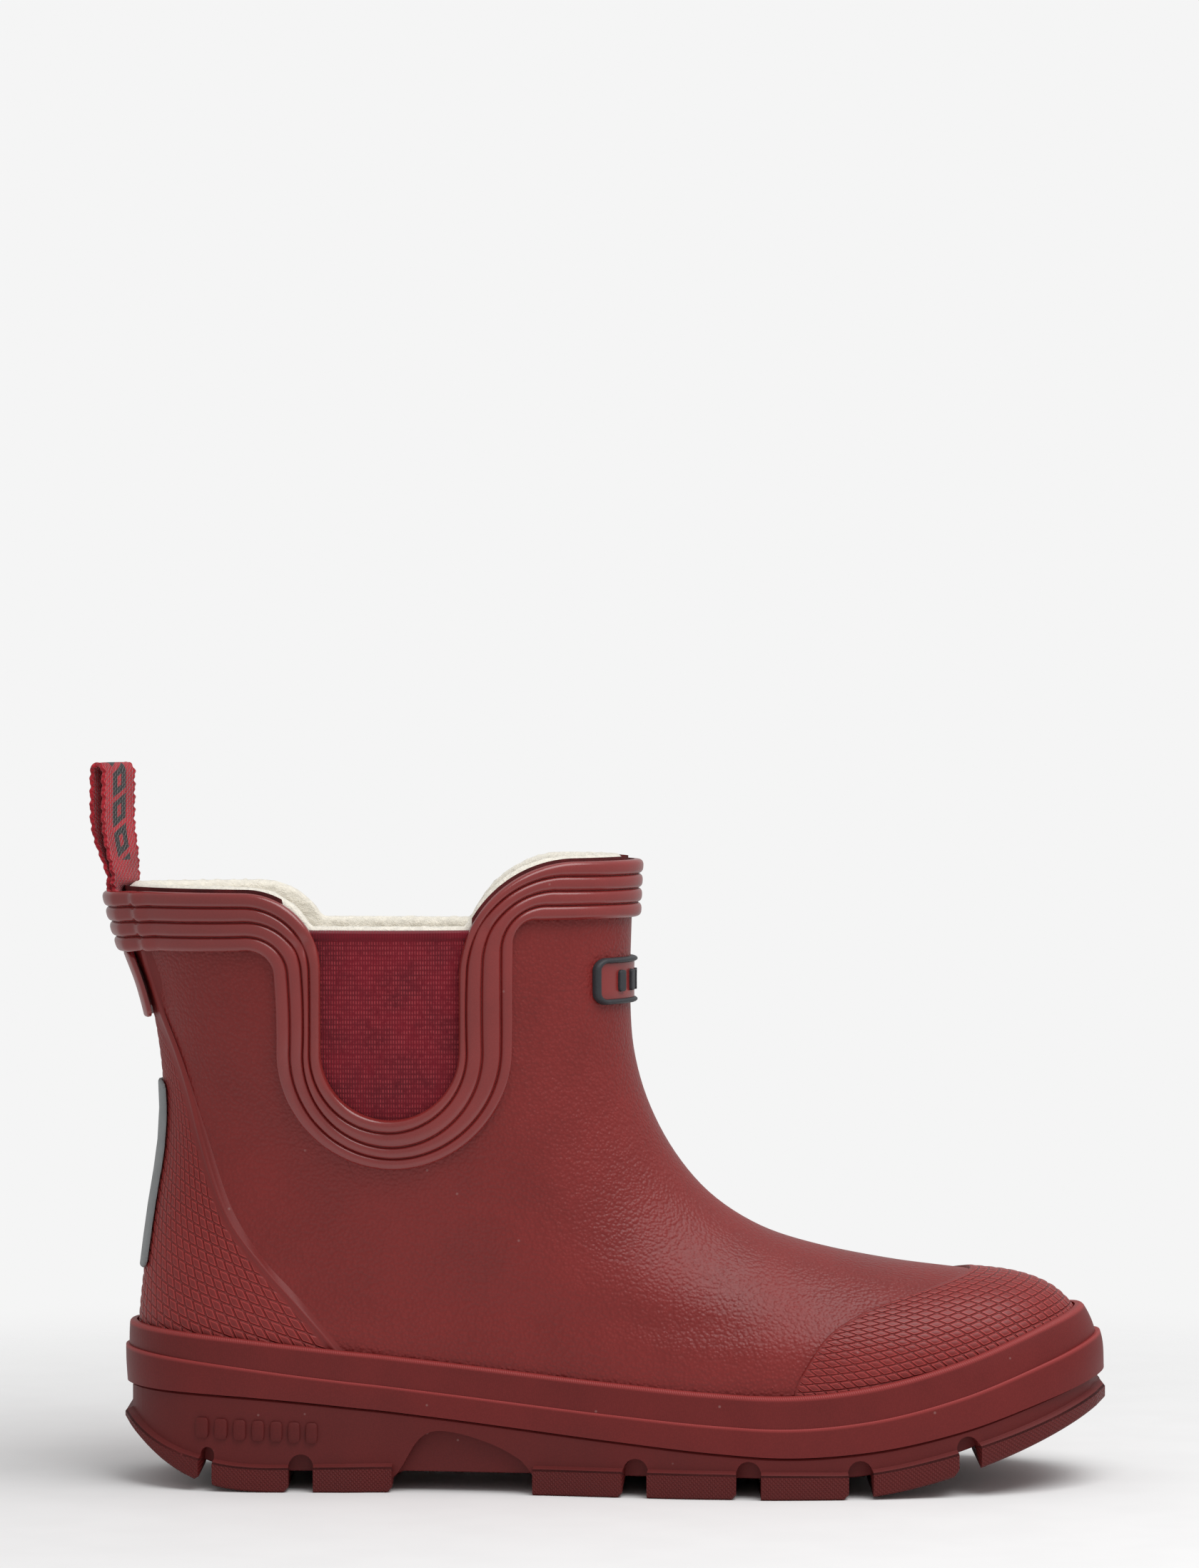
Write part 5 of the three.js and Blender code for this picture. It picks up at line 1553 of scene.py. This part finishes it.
@dataclass
class Plaques(Part):
    """Everything stuck on the heel and the front: reflective strip, loop patch and badge."""

    count: int = 160
    badge_height: float = 144.0
    marks: int = 5
    mark_pitch: float = 6.2
    strip: Plate = Plate(19, 54, 3, 88, 1.5, 2.3, ragged=0.1)
    patch: Plate = Plate(20, 19.2, 2.2, 143.6, 2.5, 3.7)

    def build(self) -> None:
        """Strip, patch, badge base, its rim and its plain marks."""
        strip = self.plate("reflective_strip_tape", self.strip)
        self.add(strip, SILVER, "reflective", "reflective_strip")
        self.add(self.plate("loop_patch_rubber", self.patch), BAND, "shell_rubber", "loop_patch")
        base = self.plate("badge_base_rubber", Plate(39.4, 10.8, 2.2, self.badge_height, 0.1, 1.2, front=True))
        self.add(base, BAND, "shell_rubber", "badge_base")
        rim = self.rim("badge_rim_rubber", 42, 13.4, 3.4, self.badge_height, 1.9)
        self.add(rim, BLACK, "black_rubber", "badge_rim")
        for index in range(self.marks):
            aside = (index - 2) * self.mark_pitch
            size = Plate(2.8, 6.2, 0.9, self.badge_height, 1.0, 1.95, front=True, aside=aside)
            mark = self.plate(f"badge_mark_{index + 1}_bar", size)
            self.add(mark, BLACK, "black_rubber", f"badge_mark_{index + 1}")

    def lay(self, loop: Array, middle: float, offset: float, front: bool) -> Array:
        """A loop of (y, z) points laid on an offset of the skin."""
        phi, t = SKIN.near(loop[:, 0], loop[:, 1] + middle, front)
        return SKIN.layer(phi, t, offset)

    def plate(self, name: str, plate: Plate) -> bpy.types.Object:
        """A rounded plate between two offsets of the skin, with softened edges."""
        outer = rounded_box(plate.width, plate.height, plate.corner, 0.0, self.count)
        turn = np.arange(len(outer))
        fray = 1 + plate.ragged * (np.sin(turn * 2.3) + np.sin(turn * 1.13 + 1)) / plate.width
        high = plate.high
        sizes = [(0.03, high), (0.35, high), (0.7, high), (0.93, high), (0.98, high - 0.12), (1.0, high - 0.35)]
        sizes += [(1.0, plate.low), (0.6, plate.low), (0.03, plate.low)]
        loops = []
        for size, offset in sizes:
            inset = min(plate.width, plate.height) / 2 * (1 - size)
            if size > 0.9:
                loop = rounded_box(plate.width, plate.height, plate.corner, inset, self.count) * fray[:, None]
            else:
                loop = outer * size
            loops.append(self.lay(loop + np.array([plate.aside, 0.0]), plate.middle, offset, plate.front))
        return solid(name, np.stack(loops), crease=60)

    def rim(
        self, name: str, width: float, height: float, corner: float, middle: float, proud: float
    ) -> bpy.types.Object:
        """The badge's raised rim: a half-round section carried along a rounded rectangle."""
        turn = np.linspace(0, math.pi, 9)
        insets = 0.8 - 0.8 * np.cos(turn)
        offsets = 0.7 + (proud - 0.5) * np.sin(turn)
        sections = [(i, o) for i, o in zip(insets, offsets)] + [(1.6, 0.1), (0.8, 0.1), (0.0, 0.1)]
        rings = [self.lay(rounded_box(width, height, corner, i, self.count), middle, o, True) for i, o in sections]
        loops = np.stack(rings, axis=1)
        return solid(name, loops, wrap=True, crease=60)


@dataclass
class PullLoop(Part):
    """The webbing loop: a tape that comes out behind the band, folds over and goes back."""

    width: float = 15.0
    thick: float = 1.25
    spread: float = 2.1
    fold: float = 32.3
    body = ""

    def build(self) -> None:
        """The tape swept along its path."""
        loops, uv = self.tape()
        piece = self.add(solid("pull_loop_tape", loops, uv, crease=70), WEBBING, "webbing", "pull_loop")
        low, high = place(HINGE - [0, 0, 1.4]), place(HINGE + [0, 0, 2.2])
        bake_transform(piece)

    def path(self) -> Array:
        """(a, h) points of the tape's middle: up the rear strand, over the fold and down the front strand."""
        rear = [(-3.0, -5.5), (-2.2, -1.5), (-0.8, 1.0), (-1.2, 5.0), (-1.9, 12.0), (-2.1, 20.0), (-2.1, self.fold)]
        front = [(2.1, self.fold), (2.0, 20.0), (1.5, 12.0), (0.75, 5.0), (0.5, 1.0), (-0.8, -1.5), (-1.5, -5.5)]
        k = np.linspace(0, 1, 110)
        turn = np.linspace(math.pi, 0, 22)[1:-1]
        over = np.stack([self.spread * np.cos(turn), self.fold + self.spread * np.sin(turn)], axis=-1)
        return np.concatenate([np.stack(outline(rear)(k), -1), over, np.stack(outline(front)(k), -1)])

    def tape(self) -> tuple[Array, Array]:
        """Cross-sections with rope-like edges, turned and leaned by height."""
        line = self.path()
        tangent = np.gradient(line, axis=0)
        tangent /= np.linalg.norm(tangent, axis=1, keepdims=True)
        normal = np.stack([-tangent[:, 1], tangent[:, 0]], axis=-1)
        along = np.concatenate([[0], np.cumsum(np.linalg.norm(np.diff(line, axis=0), axis=1))])
        ring = np.linspace(0, 2 * math.pi, 44, endpoint=False) + math.pi / 44
        c, s = np.cos(ring), np.sin(ring)
        w = squared(c, 0.45) * self.width / 2
        edge = smooth((np.abs(w) - 5.9) / 1.0)
        wave, short = 2 * math.pi * along / 3.7, 2 * math.pi * along / 1.85
        scallop = 0.34 * np.sin(wave)[:, None] + 0.2 * np.sin(short)[:, None]
        side = np.sign(c)[None, :]
        width = w[None, :] + side * edge[None, :] * scallop * np.where(side > 0, 1, -0.9)
        rope = 0.4 + 0.26 * np.sin(short + 1.0)[:, None]
        depth = squared(s, 0.6) * (self.thick / 2 + edge[None, :] * rope * np.abs(s) ** 0.5)
        a = line[:, :1] + normal[:, :1] * depth
        h = line[:, 1:] + normal[:, 1:] * depth
        angle = -np.radians(8 + 18 * smooth((h + 3) / 4) + 7 * smooth(h / 14))
        x = a * np.cos(angle) - width * np.sin(angle) - 3.2 * smooth(h / 20)
        y = a * np.sin(angle) + width * np.cos(angle)
        loops = np.stack([x, y, h], axis=-1) + HINGE
        u = np.concatenate([w, w[:1]])
        return loops, np.stack(np.broadcast_arrays(u[None, :], along[:, None]), axis=-1)


@dataclass
class Hidden(Part):
    """Pieces inside the boot, which keep their own shapes."""

    finishes = {
        "toe_puff": BOARD,
        "heel_stiffener": BOARD,
        "insole_board": BOARD,
        "sole_filler": FOAM,
        "shank": STEEL,
        "loop_tail": TAIL,
    }

    def build(self) -> None:
        """Gives each hidden node its finish."""
        for name, finish in self.finishes.items():
            node = frame["nodes"][name]
            node.data.materials.clear()
            node.data.materials.append(finish.material())


# ---------------------------------------------------------------- the studio
@dataclass(frozen=True)
class Paper(Finish):
    """The pale floor, which fades into the background away from the boot."""

    def dress(self, g: Graph, shader: bpy.types.Node, body: Socket, flat: Socket) -> None:
        """White with a faint tooth, clear beyond its radius."""
        tone = g.span(g.noise(body, 40.0), 0.3, 0.7)
        g.feed(shader.inputs["Base Color"], g.blend(tone, linear([c - 2 for c in self.colour]), linear(self.colour)))
        reach = g.node("ShaderNodeVectorMath", {0: body}, operation="LENGTH").outputs["Value"]
        back = g.node("ShaderNodeNewGeometry").outputs["Backfacing"]
        shown = g.math("MULTIPLY", g.span(reach, 0.5, 0.2), g.math("SUBTRACT", 1.0, back))
        g.feed(shader.inputs["Alpha"], shown)
        g.feed(shader.inputs["Specular IOR Level"], 0.1)


@dataclass
class Studio:
    """Floor, background, soft lights and the camera."""

    eye: tuple[float, float, float] = (137.6, -1667.0, 233.0)
    look: tuple[float, float, float] = (137.6, 0.0, 200.1)
    lens: float = 132.6
    white: float = 0.913
    ambient: float = 0.52
    floor_radius: float = 0.9
    key_at: tuple[float, float, float] = (0.42, -0.36, 1.15)
    key_to: tuple[float, float, float] = (0.02, 0.0, 0.0)
    key_size: tuple[float, float] = (1.2, 0.9)
    key_power: float = 11.5

    def build(self) -> None:
        """Everything that isn't the boot."""
        self.floor()
        self.background()
        self.lamp()
        self.camera()
        bpy.context.scene.view_settings.view_transform = "Standard"

    def floor(self) -> None:
        """A flat disc, which only shows from above."""
        turn = np.linspace(0, 2 * math.pi, 96, endpoint=False)
        mesh = bpy.data.meshes.new("floor")
        rim = self.floor_radius * np.stack([np.cos(turn), np.sin(turn), 0 * turn], axis=-1)
        mesh.from_pydata(rim.tolist(), [], [list(range(len(turn)))])
        piece = bpy.data.objects.new("floor", mesh)
        bpy.context.scene.collection.objects.link(piece)
        piece.data.materials.append(Paper("floor_paper", (240, 240, 240), 0.9).material())

    def background(self) -> None:
        """An even world: a white backdrop that gives a dimmer light."""
        world = bpy.data.worlds.new("studio")
        world.use_nodes = True
        g = Graph(world.node_tree)
        seen = g.node("ShaderNodeLightPath").outputs["Is Camera Ray"]
        strength = g.math("MULTIPLY_ADD", seen, self.white - self.ambient, self.ambient)
        backdrop = world.node_tree.nodes["Background"]
        g.feed(backdrop.inputs["Strength"], strength)
        g.feed(backdrop.inputs["Color"], (1, 1, 1, 1))
        bpy.context.scene.world = world

    def lamp(self) -> None:
        """A soft rectangular key light that faces the boot."""
        data = bpy.data.lights.new("key", "AREA")
        data.shape = "RECTANGLE"
        data.size, data.size_y = self.key_size
        data.energy = self.key_power
        lamp = bpy.data.objects.new("key", data)
        lamp.location = self.key_at
        lamp.rotation_euler = (Vector(self.key_to) - Vector(self.key_at)).to_track_quat("-Z", "Y").to_euler()
        bpy.context.scene.collection.objects.link(lamp)

    def camera(self) -> None:
        """A long lens level with the top of the boot, on its lateral side."""
        data = bpy.data.cameras.new("camera")
        data.lens = self.lens
        data.clip_end = 20.0
        eye, look = (Vector(place(np.array(p))) for p in (self.eye, self.look))
        camera = bpy.data.objects.new("camera", data)
        camera.location = eye
        camera.rotation_euler = (look - eye).to_track_quat("-Z", "Y").to_euler()
        bpy.context.scene.collection.objects.link(camera)
        bpy.context.scene.camera = camera


CAP_LINE = [(189, 0), (192.6, 29.2), (196.4, 37.3), (202.9, 45.4), (213, 51), (223.8, 54.7), (237, 58)]
CAP_LINE += [(243.4, 60.2), (246.5, 66), (247, 90)]
COUNTER_LINE = [(70, 32), (61.7, 42), (52.9, 52), (42.8, 63.3), (34.1, 74.7), (29.5, 84.5), (25, 98.7)]
COUNTER_LINE += [(21.3, 113.2), (17.5, 124.7), (11.7, 138.9), (7.6, 153.7), (6.6, 178)]
COUNTER_TOP = 163.0


def rise_of_line(knots: Sequence[tuple[float, float]]) -> float:
    """The rise at which the ridge of the toe meets a boundary line."""
    x_at, _ = line_at(knots)

    def before(t: Array) -> Array:
        """Whether the ridge is still in front of the line."""
        x, z = SKIN.front(t)
        return x > x_at(z)

    return float(solve(before, (1,), 0.0, 0.5)[0])


def rise_of_height(height: float) -> float:
    """The rise at which the back line reaches a height."""
    return float(SKIN.rise(np.zeros(1), lambda x: height)[0])


def main() -> None:
    """Builds the studio and every sub-assembly, in the order in which the boot is made up."""
    logging.basicConfig(level=logging.INFO, format="%(name)s %(message)s")
    toe = ToeCap(
        name="toe_cap_scales",
        node="toe_cap",
        line=CAP_LINE,
        at_toe=True,
        top_rise=rise_of_line(CAP_LINE),
        columns=540,
        rows=150,
        bead=0.0,
        margin=0.3,
        relief=0.3,
    )
    heel = HeelCounter(
        name="heel_counter_scales",
        node="heel_counter",
        line=COUNTER_LINE,
        at_toe=False,
        top_rise=rise_of_height(COUNTER_TOP),
        columns=330,
        rows=260,
        bead=0.3,
        margin=2.2,
        relief=0.3,
    )
    covers = (toe, heel, CollarBand(), Strips(), Outsole(), Plaques(), PullLoop())
    for part in (Studio(), Upper(), Linings(), *covers, Hidden()):
        log.info("building %s", type(part).__name__)
        part.build()


if __name__ == "__main__":
    main()
